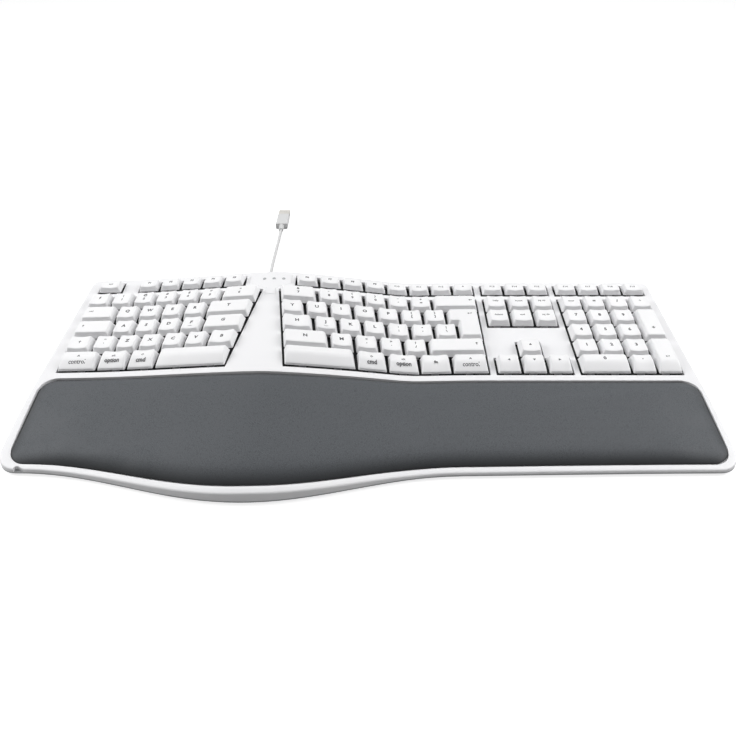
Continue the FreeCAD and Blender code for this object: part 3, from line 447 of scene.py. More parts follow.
for i in range(len(columns) - 1):
    for j in range(len(row_names) - 1):
        kind = cell_kind(i, j)
        if kind == "open":
            continue
        ring = [(i, j), (i + 1, j), (i + 1, j + 1), (i, j + 1)]
        add_face(shell, [shell_point(kind, *p) for p in ring])
        add_face(shell, [shell_point("under", *p) for p in reversed(ring)])
        for a, b, other in ((0, 1, (i, j - 1)), (1, 2, (i + 1, j)), (2, 3, (i, j + 1)), (3, 0, (i - 1, j))):
            beside = cell_kind(*other)
            lower = {"open": "under", "recess": "recess", "pocket": "pocket"}.get(beside)
            if beside == kind or lower is None or (kind in ("recess", "pocket") and beside != "open"):
                continue
            p, q = ring[a], ring[b]
            add_face(shell, [shell_point(kind, *q), shell_point(kind, *p), shell_point(lower, *p),
                             shell_point(lower, *q)])

rim = [(i, 0) for i in range(len(columns))]
rim += [(len(columns) - 1, j) for j in range(1, len(row_names))]
rim += [(i, len(row_names) - 1) for i in range(len(columns) - 2, -1, -1)]
rim += [(0, j) for j in range(len(row_names) - 2, 0, -1)]


def outward(x, y0):
    front, rear = corner_start(x, False), corner_start(x, True)
    if abs(x) > front and y0 < front_turn:
        way = Vector((x - math.copysign(front, x), y0 - front_turn))
    elif abs(x) > rear and y0 > rear_turn:
        way = Vector((x - math.copysign(rear, x), y0 - rear_turn))
    elif abs(x) > 230.0:
        way = Vector((x, 0.0))
    else:
        way = Vector((0.0, y0))
    return way.normalized()


edge_roll, wall_foot = 1.1, 3.25
profile = []
for degrees in (0, 20, 40, 60, 78, 90):
    a = math.radians(degrees)
    profile.append((wall_out - edge_roll * (1 - math.sin(a)), edge_roll * (1 - math.cos(a))))
rings = [[shell_point("land", i, j) for i, j in rim]]
for out, drop in profile + [(wall_out, None), (0.0, None)]:
    ring = []
    for i, j in rim:
        x, y0 = grid[i][j]
        way = outward(x, y0)
        px, py0 = x + way.x * out, y0 + way.y * out
        z = wall_foot if drop is None else top_z(px, py0) - drop
        ring.append(shell.verts.new((px * MM, row_y(px, py0) * MM, z * MM)))
    rings.append(ring)
rings.append([shell_point("under", i, j) for i, j in rim])
for inner, outer in zip(rings, rings[1:]):
    for k in range(len(rim)):
        after = (k + 1) % len(rim)
        add_face(shell, [inner[k], outer[k], outer[after], inner[after]])
bmesh.ops.remove_doubles(shell, verts=shell.verts, dist=0.00001)
bmesh.ops.dissolve_degenerate(shell, edges=shell.edges, dist=0.000005)
bmesh.ops.recalc_face_normals(shell, faces=shell.faces)
broken = []
for edge in shell.edges:
    if len(edge.link_faces) == 2:
        steep = sorted(face.normal.z for face in edge.link_faces)
        if steep[1] > 0.75 and abs(steep[0]) < 0.4 and edge.is_convex:
            broken.append(edge)
bmesh.ops.bevel(shell, geom=broken, offset=0.0004, segments=2, profile=0.5, affect="EDGES", clamp_overlap=True)


def stand(name, data):
    """New object at the origin."""
    thing = bpy.data.objects.new(name, data)
    bpy.context.scene.collection.objects.link(thing)
    return thing


def final_mesh(thing):
    bpy.context.view_layer.update()
    return bpy.data.meshes.new_from_object(thing.evaluated_get(bpy.context.evaluated_depsgraph_get()))


def piece_from(mesh, name, body, materials, smooth=0.6, shown_for=()):
    """Finished mesh as a piece of the object, riding on its body."""
    data = bpy.data.meshes.new(name)
    mesh.to_mesh(data)
    mesh.free()
    for material in materials:
        data.materials.append(material)
    data.polygons.foreach_set("use_smooth", [True] * len(data.polygons))
    data.set_sharp_from_angle(angle=smooth)
    piece = stand(name, data)
    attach(piece, body)
    if shown_for:
        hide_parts(*shown_for)
    return piece


shell_white = moulded_plastic("shell_white_plastic", colour(0.80, 0.80, 0.81), colour(0.77, 0.77, 0.785),
                              grains=1500.0, height=0.000018, cloud=14.0, smooth=0.38, rough=0.48)
piece_from(shell, "top_shell", "chassis", [shell_white], shown_for=["top_case"])

# Case screws: seven zinc-plated pan-head screws with a cross recess, sunk into the floor pan.
# A node tree sets one model on every spot, each turned as the driver left it.
screw_zinc = plated_metal("screw_zinc", colour(0.62, 0.63, 0.65), colour(0.50, 0.49, 0.47), 2500.0,
                          (1.0, 1.0, 1.0))
screw_line = [(0.9, 7.9), (1.15, 7.4), (1.15, 3.0), (2.8, 3.0), (2.8, 2.5), (2.62, 1.95), (2.2, 1.6),
              (1.5, 1.44)]
cross_plan = (1.1, 0.9, 0.42, 0.36, 0.42, 0.9)


def turned_ring(mesh, radii, height):
    ring = []
    for k in range(24):
        a = math.radians(15 * k)
        radius = radii[k % len(radii)]
        ring.append(mesh.verts.new((radius * math.cos(a) * MM, radius * math.sin(a) * MM, height * MM)))
    return ring


def bridge(mesh, lower, upper):
    count = len(lower)
    for k in range(count):
        mesh.faces.new([lower[k], lower[(k + 1) % count], upper[(k + 1) % count], upper[k]])


def skin(mesh, rings):
    for lower, upper in zip(rings, rings[1:]):
        bridge(mesh, lower, upper)


screw = bmesh.new()
rings = [turned_ring(screw, (radius,), height) for radius, height in screw_line]
rings += [turned_ring(screw, cross_plan, 1.4), turned_ring(screw, [0.7 * r for r in cross_plan], 2.3)]
skin(screw, rings)
screw.faces.new(rings[0])
screw.faces.new(rings[-1])
bmesh.ops.recalc_face_normals(screw, faces=screw.faces)
screw_mesh = bpy.data.meshes.new("one_screw")
screw.to_mesh(screw_mesh)
screw.free()
screw_model = bpy.data.objects.new("one_screw", screw_mesh)

scatter = bpy.data.node_groups.new("Fasteners on spots", "GeometryNodeTree")
for label, kind in (("Spots", "Geometry"), ("Model", "Object"), ("Seed", "Int"), ("Finish", "Material")):
    scatter.interface.new_socket(label, in_out="INPUT", socket_type="NodeSocket" + kind)
scatter.interface.new_socket("Geometry", in_out="OUTPUT", socket_type="NodeSocketGeometry")
given = scatter.nodes.new("NodeGroupInput").outputs
model = add(scatter, "GeometryNodeObjectInfo", {"Object": given["Model"]})
turned = add(scatter, "FunctionNodeRandomValue", {"Min": (0.0, 0.0, 0.0), "Max": (0.0, 0.0, 1.5),
                                                  "Seed": given["Seed"]}, data_type="FLOAT_VECTOR")
placed = add(scatter, "GeometryNodeInstanceOnPoints", {
    "Points": given["Spots"], "Instance": model.outputs["Geometry"], "Rotation": turned.outputs["Value"]})
whole = add(scatter, "GeometryNodeRealizeInstances", {"Geometry": placed.outputs["Instances"]})
finish = add(scatter, "GeometryNodeSetMaterial", {"Geometry": whole.outputs["Geometry"],
                                                  "Material": given["Finish"]})
feed(scatter, scatter.nodes.new("NodeGroupOutput"), {"Geometry": finish.outputs["Geometry"]})

screw_places = [(-205, -40), (-140, -40), (-78, -45), (-20, -40), (60, -38), (130, -38), (205, -38)]
spots = bpy.data.meshes.new("screw_spots")
spots.from_pydata([(x * MM, row_y(x, y0) * MM, 0.0) for x, y0 in screw_places], [], [])
holder = stand("screw_spots", spots)
maker = holder.modifiers.new("fasteners", "NODES")
maker.node_group = scatter
settings = {"Model": screw_model, "Seed": 5, "Finish": screw_zinc}
for item in scatter.interface.items_tree:
    if item.name in settings:
        maker[item.identifier] = settings[item.name]
baked = final_mesh(holder)
bpy.data.objects.remove(holder)
bpy.data.objects.remove(screw_model)
screws = bmesh.new()
screws.from_mesh(baked)
bpy.data.meshes.remove(baked)
piece_from(screws, "screw_heads", "chassis", [screw_zinc], shown_for=["case_screws"])

# Centre panel: a separate white trim piece behind the seam between the two halves.
# It snaps into a shallow pocket and holds the three indicator windows.
dress("centre_panel", shell_white)

# Indicator lenses: three small windows of milky plastic, lit from below when in use.
# Their faces are polished, and the clear plastic looks grey over the dark inside.
lens_milk = moulded_plastic("lens_milky_plastic", colour(0.40, 0.42, 0.42), colour(0.34, 0.36, 0.36),
                            grains=400.0, height=0.000002, cloud=600.0, smooth=0.08, rough=0.16,
                            Coat_Weight=0.6)
dress("indicator_lenses", lens_milk)

# Keycaps: hollow white caps with rounded edges, dished tops and printed grey legends.
# Fingers have polished their tops a little smoother than their matt, grained sides.
key_gap, full_height, function_height, skirt, stem_foot = 1.4, 6.4, 5.4, 0.4, -7.7
key_pitch, pad_pitch, navigation_pitch = 18.85, 19.05, 19.1
left_edge, right_edge, navigation_left, pad_left = -233.5, 88.3, 93.6, 156.1
row_lines = {"bottom": (-6.0, 13.0), "lower": (13.0, 31.9), "home": (31.9, 50.8), "top": (50.8, 69.7),
             "number": (69.7, 88.6), "function": (93.8, 108.2)}

cap_white = moulded_plastic("cap_white_plastic", colour(0.82, 0.82, 0.83), colour(0.79, 0.79, 0.80),
                            grains=2200.0, height=0.000015, cloud=30.0, smooth=0.46, rough=0.56)
tree = cap_white.node_tree
made = tree.nodes["Group"].outputs
touched = add(tree, "ShaderNodeAttribute", {}, attribute_name="touch").outputs["Fac"]
polish = add(tree, "ShaderNodeMath", {0: touched, 1: -0.16, 2: made["Roughness"]}, operation="MULTIPLY_ADD")
feed(tree, tree.nodes["Principled BSDF"], {
    "Roughness": polish.outputs["Value"],
    "Base Color": mixed(tree, touched, made["Colour"], colour(0.85, 0.85, 0.855))})
legend_ink = moulded_plastic("legend_grey_ink", colour(0.055, 0.055, 0.06), colour(0.085, 0.085, 0.09),
                             grains=5000.0, height=0.000005, cloud=900.0, smooth=0.5, rough=0.7)


class Seat:
    """Place of one key on the deck, with the deck's slopes under it."""

    def __init__(self, x0, x1, y0, y1):
        self.x = (x0 + x1) / 2
        self.y = row_y(self.x, (y0 + y1) / 2)
        self.turn = math.atan2(bow(self.x - 0.5) - bow(self.x + 0.5), 1.0)
        self.z = deck_z(self.x, self.y)
        self.slope = (wave(self.x + 3) - wave(self.x - 3)) / 6
        self.half_u = (x1 - x0 - key_gap) / 2
        self.half_v = (y1 - y0 - key_gap) / 2
        self.height = function_height if y0 == row_lines["function"][0] else full_height
        self.sloped = y0 == row_front

    def point(self, u, v, level):
        x = self.x + u * math.cos(self.turn) - v * math.sin(self.turn)
        y = self.y + u * math.sin(self.turn) + v * math.cos(self.turn)
        z = self.z + self.slope * (x - self.x) + deck_tilt * (y - self.y) + level
        return (x * MM, y * MM, z * MM)


def read(points, value):
    for (a, fa), (b, fb) in zip(points, points[1:]):
        if value <= b:
            return fa + (fb - fa) * (value - a) / (b - a)
    return points[-1][1]


long_front = [(skirt, 0.3), (2.2, 0.5), (2.6, 0.9), (3.8, 2.9), (5.0, 5.0), (5.8, 6.6), (6.2, 7.8),
              (6.4, 8.8)]


def wall_line(height, taper):
    """A wall's inset by level: a straight draft, then the small radius of the cap's edge."""
    return [(skirt, 0.3), (height - 0.9, taper * 0.9), (height - 0.4, taper), (height - 0.12, taper + 0.3),
            (height, taper + 0.8)]


def cap_lines(seat):
    """Levels of the cap's rings, and the lines of its sides, front and rear."""
    side, rear = wall_line(seat.height, 1.9), wall_line(seat.height, 2.4)
    front = long_front if seat.sloped else wall_line(seat.height, 1.1)
    levels = sorted({level for level, inset in side + front} | {skirt + 0.2, 0.5 * seat.height})
    return levels, side, front, rear


def rounded_loop(x0, x1, y0, y1, radius, turns, short_run, long_run):
    """Points of a rounded rectangle from its lower right corner, in the same order for each call."""
    corners = [(x1 - radius, y0 + radius, -90), (x1 - radius, y1 - radius, 0), (x0 + radius, y1 - radius, 90),
               (x0 + radius, y0 + radius, 180)]
    points = []
    for k, (cx, cy, start) in enumerate(corners):
        for turn in range(turns + 1):
            a = math.radians(start + 90 * turn / turns)
            points.append((cx + radius * math.cos(a), cy + radius * math.sin(a)))
        next_x, next_y, after = corners[(k + 1) % 4]
        u, v = points[-1]
        du = next_x + radius * math.cos(math.radians(after)) - u
        dv = next_y + radius * math.sin(math.radians(after)) - v
        steps = long_run if k % 2 else short_run
        points += [(u + du * step / steps, v + dv * step / steps) for step in range(1, steps)]
    return points


def cap_loop(half_u, half_v, side, front, rear, radius):
    left, right, low, high = -half_u + side, half_u - side, -half_v + front, half_v - rear
    return rounded_loop(left, right, low, high, min(radius, (right - left) / 2.2, (high - low) / 2.2), 3, 6, 6)


def dish(u, v, half_u, half_v):
    """How far the top is hollowed at a point; wide keys and bars are flat."""
    if 2 * max(half_u, half_v) > 24:
        return 0.0
    return max(0.0, 0.8 * (1 - (u / 6.4) ** 2))


def cap_surface(seat, u, v):
    """Level of the finished cap surface at a point of its plan."""
    level = seat.height - dish(u, v, seat.half_u, seat.half_v)
    if seat.sloped:
        from_front = v + seat.half_v
        if from_front < long_front[-1][1]:
            back = [(inset, height) for height, inset in long_front]
            level = min(level, read(back, from_front))
    return level


def post_box(mesh, seat, u, v, low, high):
    corners = []
    for level in (low, high):
        base = seat.point(u, v, level)[2]
        for du, dv in ((-2.5, -2.5), (2.5, -2.5), (2.5, 2.5), (-2.5, 2.5)):
            x, y, z = seat.point(u + du, v + dv, 0)
            corners.append(mesh.verts.new((x, y, base)))
    for ring in ((3, 2, 1, 0), (4, 5, 6, 7), (0, 1, 5, 4), (1, 2, 6, 5), (2, 3, 7, 6), (3, 0, 4, 7)):
        mesh.faces.new([corners[k] for k in ring])


def add_cap(mesh, touch, x0, x1, y0, y1):
    """One hollow keycap with its stem, or two stems under a long one."""
    seat = Seat(x0, x1, y0, y1)
    u, v, height = seat.half_u, seat.half_v, seat.height
    levels, side_line, front_line, rear_line = cap_lines(seat)
    rings = []
    for level in levels:
        side, front, rear = read(side_line, level), read(front_line, level), read(rear_line, level)
        ring = []
        for a, b in cap_loop(u, v, side, front, rear, 0.7 + 0.9 * level / height):
            sunk = dish(a, b, u, v) * max(0.0, (level - 0.33 * height) / (0.67 * height))
            ring.append(mesh.verts.new(seat.point(a, b, level - sunk)))
        rings.append(ring)
    skin(mesh, rings)
    side, front, rear = side_line[-1][1], front_line[-1][1], rear_line[-1][1]
    mid_v = (front - rear) / 2
    plan = cap_loop(u, v, side, front, rear, 1.6)
    last = rings[-1]
    if dish(0, 0, u, v) > 0:
        for share in (0.75, 0.5, 0.25):
            ring = []
            for a, b in plan:
                a, b = a * share, mid_v + (b - mid_v) * share
                vert = mesh.verts.new(seat.point(a, b, height - dish(a, b, u, v)))
                vert[touch] = 1.0 - share * share
                ring.append(vert)
            bridge(mesh, last, ring)
            last = ring
        tip = mesh.verts.new(seat.point(0, mid_v, height - dish(0, 0, u, v)))
        tip[touch] = 1.0
        for k in range(len(last)):
            mesh.faces.new([last[k], last[(k + 1) % len(last)], tip])
    else:
        ring = []
        for a, b in cap_loop(u, v, side + 1.2, front + 1.2, rear + 1.2, 1.2):
            vert = mesh.verts.new(seat.point(a, b, height))
            vert[touch] = 0.6
            ring.append(vert)
        bridge(mesh, last, ring)
        mesh.faces.new(ring)
    inner_low = [mesh.verts.new(seat.point(a, b, skirt)) for a, b in cap_loop(u, v, 1.5, 1.5, 1.5, 0.5)]
    inner_high = [mesh.verts.new(seat.point(a, b, height - 2.8)) for a, b in
                  cap_loop(u, v, 1.3 + 0.8 * side, 1.3 + 0.6 * front, 1.3 + 0.8 * rear, 0.5)]
    bridge(mesh, inner_low, rings[0])
    bridge(mesh, inner_high, inner_low)
    mesh.faces.new(list(reversed(inner_high)))
    stems = [(0, 0)]
    if 2 * u > 36:
        stems = [(-u / 2, 0), (u / 2, 0)]
    elif 2 * v > 28:
        stems = [(0, -v / 2), (0, v / 2)]
    for a, b in stems:
        post_box(mesh, seat, a, b, stem_foot, height - 2.0)
    return seat


legend_faces = {}


def lettering(text, size):
    """Flat outline of a word in the plain sans face, centred, in millimetres."""
    if (text, size) not in legend_faces:
        words = bpy.data.curves.new("legend", "FONT")
        words.body = text
        words.size = size
        words.align_x = "CENTER"
        words.align_y = "CENTER"
        words.resolution_u = 2
        words.offset = (0.045 if len(text) < 3 else 0.022) * size
        holder = stand("legend", words)
        flat = final_mesh(holder)
        heights = [p.co.y for p in flat.vertices]
        middle = (min(heights) + max(heights)) / 2
        points = [(p.co.x, p.co.y - middle) for p in flat.vertices]
        legend_faces[text, size] = (points, [tuple(f.vertices) for f in flat.polygons])
        bpy.data.meshes.remove(flat)
        bpy.data.objects.remove(holder)
        bpy.data.curves.remove(words)
    return legend_faces[text, size]


arrow = ([(-1.0, -0.22), (0.1, -0.22), (0.1, -0.8), (1.0, 0.0), (0.1, 0.8), (0.1, 0.22), (-1.0, 0.22)],
         [(0, 1, 5, 6), (2, 3, 4)])
glyphs = {
    "right": arrow, "left": ([(-x, -y) for x, y in arrow[0]], arrow[1]),
    "up": ([(-y, x) for x, y in arrow[0]], arrow[1]), "down": ([(y, -x) for x, y in arrow[0]], arrow[1]),
    "tip up": ([(-0.8, -0.6), (0.8, -0.6), (0.0, 0.8)], [(0, 1, 2)]),
    "tip down": ([(-0.8, 0.6), (0.0, -0.8), (0.8, 0.6)], [(0, 1, 2)]),
    "tip left": ([(0.6, -0.8), (0.6, 0.8), (-0.8, 0.0)], [(0, 1, 2)]),
    "tip right": ([(-0.6, 0.8), (-0.6, -0.8), (0.8, 0.0)], [(0, 1, 2)]),
    "diamond": ([(0, -0.9), (0.9, 0), (0, 0.9), (-0.9, 0), (0, -0.5), (0.5, 0), (0, 0.5), (-0.5, 0)],
                [(0, 1, 5, 4), (1, 2, 6, 5), (2, 3, 7, 6), (3, 0, 4, 7)]),
    "bend": ([(-1.1, 0.0), (-0.3, -0.6), (-0.3, -0.16), (0.7, -0.16), (0.7, 0.7), (1.02, 0.7), (1.02, 0.16),
              (1.02, -0.16), (0.7, 0.16), (-0.3, 0.16), (-0.3, 0.6)],
             [(0, 1, 10), (2, 3, 8, 9), (3, 7, 6, 8), (8, 6, 5, 4)]),
    "stop": ([(-1.0, -0.16), (0.2, -0.16), (0.2, -0.6), (0.9, 0.0), (0.2, 0.6), (0.2, 0.16), (-1.0, 0.16),
              (1.0, -0.65), (1.22, -0.65), (1.22, 0.65), (1.0, 0.65)],
             [(0, 1, 5, 6), (2, 3, 4), (7, 8, 9, 10)])}


def print_legend(mesh, seat, marks):
    """Lay printed marks on a cap: each is a word or glyph, its place and its size."""
    for mark, a, b, size in marks:
        if mark in glyphs:
            points, faces = glyphs[mark]
            points = [(x * size, y * size) for x, y in points]
        else:
            points, faces = lettering(mark, size)
        verts = []
        for x, y in points:
            level = cap_surface(seat, a + x, b + y) + 0.045
            verts.append(mesh.verts.new(seat.point(a + x, b + y, level)))
        for face in faces:
            made_face = mesh.faces.new([verts[k] for k in face])
            made_face.material_index = 1


def home_bump(mesh, seat):
    """Low rounded bar that the resting fingers feel for."""
    rings = []
    for grow, rise in ((0.0, -0.1), (0.0, 0.3), (-0.2, 0.5)):
        ring = []
        for k in range(16):
            a = math.radians(22.5 * k)
            u = (0.45 + grow) * math.cos(a) + math.copysign(1.3, math.cos(a))
            v = (0.45 + grow) * math.sin(a) - 4.6
            ring.append(mesh.verts.new(seat.point(u, v, cap_surface(seat, u, v) + rise)))
        rings.append(ring)
    skin(mesh, rings)
    mesh.faces.new(rings[-1])


def single(text, size=4.3):
    return [(text, 0.0, 0.0, size)]


def double(lower, upper):
    return [(lower, 0.0, -2.2, 3.5), (upper, 0.0, 2.4, 3.2)]


def worded(word, mark):
    return [(word, 0.0, -3.6, 4.3)] + mark


def alike(node, width, legends):
    """Keys of one node and width; of two signs, the second stands over the first."""
    return [(node, width, double(*signs) if len(signs) == 2 else single(signs)) for signs in legends]


keys = []


def key_run(row, start, entries):
    front, rear = row_lines[row]
    for node, width, marks in entries:
        keys.append((node, start, start + width, front, rear, marks))
        start += width
    return start


def left_run(row, entries, node, marks):
    end = key_run(row, left_edge, entries)
    inner = inner_edge(left_inner, sum(row_lines[row]) / 2)
    key_run(row, end, [(node, inner - end, marks)])


def right_run(row, node, marks, entries):
    inner = inner_edge(right_inner, sum(row_lines[row]) / 2)
    start = right_edge - sum(width for _, width, _ in entries)
    key_run(row, inner, [(node, start - inner, marks)])
    key_run(row, start, entries)


left_run("number", alike("keys_number_left", 19.5, "§")
         + alike("keys_number_left", 18.6, ["1!", "2@", "3#", "4$", "5%"]),
         "keys_number_left", double("6", "^"))
left_run("top", [("key_tab", 28.5, [("stop", -6.5, 0.0, 1.6)])] + alike("keys_top_left", 18.6, "QWER"),
         "keys_top_left", single("T"))
left_run("home", [("key_caps_lock", 30.5, [("up", -8.0, 0.0, 1.3)])] + alike("keys_home_left", 18.2, "ASDF"),
         "keys_home_left", single("G"))
left_run("lower", [("key_shift_left", 20.5, [("up", 0.0, 0.0, 1.5)])]
         + alike("keys_lower_left", 18.0, ["`~", "Z", "X", "C", "V"]), "keys_lower_left", single("B"))
control_marks = worded("control", [("^", 0.0, 1.4, 4.0)])
option_marks = worded("option", [("alt", 0.0, 1.6, 2.9)])
command_marks = worded("cmd", [("diamond", 0.0, 1.6, 1.3)])
left_run("bottom", [("key_control_left", 30.0, control_marks), ("key_option_left", 23.0, option_marks),
                    ("key_command_left", 21.5, command_marks)], "key_space_left", [])

enter_upper, enter_lower = 27.4, 19.6
right_run("number", "keys_number_right", double("7", "&"),
          alike("keys_number_right", key_pitch, ["8*", "9(", "0)", "-_", "=+"])
          + [("key_backspace", 2 * key_pitch, [("left", 12.5, 0.0, 1.5)])])
right_run("top", "keys_top_right", single("Y"),
          alike("keys_top_right", key_pitch, ["U", "I", "O", "P", "[{", "]}"]) + [("gap", enter_upper, [])])
right_run("home", "keys_home_right", single("H"),
          alike("keys_home_right", key_pitch, ["J", "K", "L", ";:", "'\"", "\\|"])
          + [("gap", enter_lower, [])])
right_run("lower", "keys_lower_right", single("N"),
          alike("keys_lower_right", key_pitch, ["M", ",<", ".>", "/?"])
          + [("key_shift_right", 44.7, [("up", 15.0, 0.0, 1.5)])])
right_run("bottom", "key_space_right", [],
          [("key_command_right", 23.3, command_marks), ("key_option_right", 24.2, option_marks),
           ("key_fn", 24.2, [("fn", 0.0, -1.0, 3.6)]), ("key_control_right", 28.0, control_marks)])
keys = [key for key in keys if key[0] != "gap"]


def lettered(row, start, node, width, words, size):
    key_run(row, start, [(node, width, single(word, size)) for word in words])


lettered("function", -231.0, "key_escape", 20.5, ["esc"], 2.9)
lettered("function", -196.3, "keys_function_left", 18.4, ["F%d" % k for k in range(1, 6)], 2.9)
lettered("function", -62.3, "keys_function_right", 18.75, ["F%d" % k for k in range(6, 13)], 2.9)
key_run("function", -62.3 + 7 * 18.75, [("keys_function_right", 18.75, [("tip up", 0.0, 0.4, 1.2)])])
lettered("function", navigation_left, "keys_function_middle", navigation_pitch,
         ["F%d" % k for k in range(13, 16)], 2.9)
lettered("function", pad_left, "keys_function_pad", pad_pitch, ["F%d" % k for k in range(16, 20)], 2.9)
lettered("number", navigation_left, "keys_navigation", navigation_pitch, ["help", "home", "pg up"], 2.7)
lettered("top", navigation_left, "keys_navigation", navigation_pitch, ["delete", "end", "pg dn"], 2.7)
key_run("lower", navigation_left + navigation_pitch,
        [("key_arrow_up", navigation_pitch, [("tip up", 0, 0.0, 1.5)])])
key_run("bottom", navigation_left, [("key_arrow_" + way, navigation_pitch, [("tip " + way, 0, 1.0, 1.5)])
                                    for way in ("left", "down", "right")])
lettered("number", pad_left, "keys_pad_operators", pad_pitch, ["clear"], 2.7)
lettered("number", pad_left + pad_pitch, "keys_pad_operators", pad_pitch, "=/*", 4.3)
for row, digits in (("top", "789"), ("home", "456"), ("lower", "123")):
    lettered(row, pad_left, "keys_pad_digits", pad_pitch, digits, 4.3)
key_run("bottom", pad_left, [("key_pad_zero", 2 * pad_pitch, [("0", 0.0, 1.8, 4.4)]),
                             ("key_pad_point", pad_pitch, [(".", 0.0, 1.8, 5.0)])])
pad_last, pad_right = pad_left + 3 * pad_pitch, pad_left + 4 * pad_pitch
keys.append(("key_pad_plus", pad_last, pad_right, row_lines["home"][0], row_lines["top"][1],
             [("+", 0.0, -8.2, 4.8)]))
keys.append(("key_pad_enter", pad_last, pad_right, row_lines["bottom"][0], row_lines["lower"][1],
             [("bend", 0.0, -5.6, 1.5)]))

caps = {}
for node, x0, x1, y0, y1, marks in keys:
    if node not in caps:
        mesh = bmesh.new()
        caps[node] = (mesh, mesh.verts.layers.float.new("touch"))
    mesh, touch = caps[node]
    seat = add_cap(mesh, touch, x0, x1, y0, y1)
    print_legend(mesh, seat, marks)
    if marks and marks[0][0] in "FJ":
        home_bump(mesh, seat)

# Enter key: two rows deep and wider in its upper row, so its left side has a step.
# It is a cap like the others, with its bent arrow near the upper right corner.
enter_x0, enter_notch = right_edge - enter_upper, right_edge - enter_lower
enter_front, enter_step = row_lines["home"]
enter_rear = row_lines["top"][1]


def enter_loop(seat, side, front, rear, radius):
    half = key_gap / 2
    middle = (enter_front + enter_rear) / 2
    left, notch, right = (enter_x0 - seat.x + half + side, enter_notch - seat.x + half + side,
                          right_edge - seat.x - half - side)
    low, step, high = (enter_front - middle + half + front, enter_step - middle + half + front,
                       enter_rear - middle - half - rear)
    turns = [(notch, low, 1, 1), (right, low, -1, 1), (right, high, -1, -1), (left, high, 1, -1),
             (left, step, 1, 1), (notch, step, -1, -1)]
    points = []
    for k, (u, v, du, dv) in enumerate(turns):
        start = [180, 270, 0, 90, 180, 90][k]
        way = -1 if k == 5 else 1
        for turn in (0, 30, 60, 90):
            a = math.radians(start - turn) if way < 0 else math.radians(start + turn)
            points.append((u + du * radius + radius * math.cos(a), v + dv * radius + radius * math.sin(a)))
    return points


mesh = bmesh.new()
touch = mesh.verts.layers.float.new("touch")
seat = Seat(enter_x0, right_edge, enter_front, enter_rear)
rings = []
levels, side_line, front_line, rear_line = cap_lines(seat)
for level in levels:
    rings.append([mesh.verts.new(seat.point(a, b, level)) for a, b in
                  enter_loop(seat, read(side_line, level), read(front_line, level), read(rear_line, level),
                             0.7 + 0.9 * level / seat.height)])
skin(mesh, rings)
mesh.faces.new(rings[-1])
inner_low = [mesh.verts.new(seat.point(a, b, skirt)) for a, b in enter_loop(seat, 1.5, 1.5, 1.5, 0.5)]
inner_high = [mesh.verts.new(seat.point(a, b, 2.9)) for a, b in enter_loop(seat, 3.2, 3.0, 4.0, 0.5)]
bridge(mesh, inner_low, rings[0])
bridge(mesh, inner_high, inner_low)
mesh.faces.new(list(reversed(inner_high)))
enter_u = (enter_notch + right_edge) / 2 - seat.x
for b in (-(enter_rear - enter_front) / 4, (enter_rear - enter_front) / 4):
    post_box(mesh, seat, enter_u, b, stem_foot, 3.7)
print_legend(mesh, seat, [("bend", 5.0, 10.0, 1.7)])
caps["key_enter"] = (mesh, touch)

for node, (mesh, touch) in caps.items():
    piece_from(mesh, node + "_cap", node, [cap_white, legend_ink], 0.55, [node])


# Palm cushion: a foam pad in dark grey leatherette, glued into the recess of the shell.
# It is full in the middle and rolls down to its edge all round. Its colour carries
# painted shade: near black in the seam all round, along its front edge and at its ends.
pad_proud, pad_crown, front_swell, front_roll, glue_gap = 0.1, 2.9, 4.2, 12.0, 0.35


def pad_ring(inset):
    """Points of the pad's plan, drawn in, in the deck's own bent coordinates."""
    return rounded_loop(palm_left + inset, palm_right - inset, palm_front + inset, palm_rear - inset,
                        max(0.4, palm_corner - inset), 8, 10, 80)


def pad_top(x, y0, inset):
    share = (y0 - palm_front) / (palm_rear - palm_front)
    fullness = min(1.0, 0.15 + max(0.0, min(x - palm_left, palm_right - x)) / 44.0)
    front_z = top_z(x, palm_front) + pad_proud + front_swell * fullness
    rear_z = top_z(x, palm_rear) + pad_proud
    crown = pad_crown * fullness * (1 - abs(1 - 2 * share) ** 3)
    roll = (0.8 + 0.3 * share) * max(0.0, 1 - inset / 4.0) ** 2.2
    roll += front_swell * fullness * max(0.0, 1 - (y0 - palm_front) / front_roll) ** 2
    return front_z + (rear_z - front_z) * share + crown - roll


def painted_shade(x, y0, inset):
    """Painted shade on the skin: in the seam all round, along the front edge and at the ends."""
    front = max(0.0, 1 - (y0 - palm_front) / 9.0) ** 1.5
    end = 0.8 * max(0.0, 1 - min(x - palm_left, palm_right - x) / 7.0) ** 1.5
    return max(max(0.0, 1 - inset / 1.9) ** 0.7, front, end)


pad = bmesh.new()
shade_layer = pad.verts.layers.float.new("painted_shade")
pad_rings = []
pad_insets = [0.0, 0.25, 0.7, 1.4, 2.4, 3.6, 5.2, 8.0, 12.0, 17.0, 23.0, 30.0, 36.6]
for inset, level in [(3.0, "seat"), (0.5, "seat"), (0.1, "side")] + [(inset, "top") for inset in pad_insets]:
    ring = []
    for x, y0 in pad_ring(inset):
        seat_level = seat_z(x, y0) + glue_gap
        if level == "seat":
            z = seat_level
        elif level == "side":
            z = max(seat_level + 0.1, pad_top(x, y0, 0.0) - 0.8)
        else:
            z = pad_top(x, y0, inset)
        vert = pad.verts.new((x * MM, row_y(x, y0) * MM, z * MM))
        # painted shade: how far this point of the skin is darkened
        vert[shade_layer] = painted_shade(x, y0, inset)
        ring.append(vert)
    pad_rings.append(ring)
skin(pad, pad_rings)
pad.faces.new(list(reversed(pad_rings[0])))
middle, mid_side = pad_rings[-1], 13
for m in range(len(middle) // 2 - 1):
    ahead, back = mid_side + m, mid_side - m
    add_face(pad, [middle[k % len(middle)] for k in (ahead, ahead + 1, back - 1, back)])
bmesh.ops.remove_doubles(pad, verts=pad.verts, dist=0.00002)
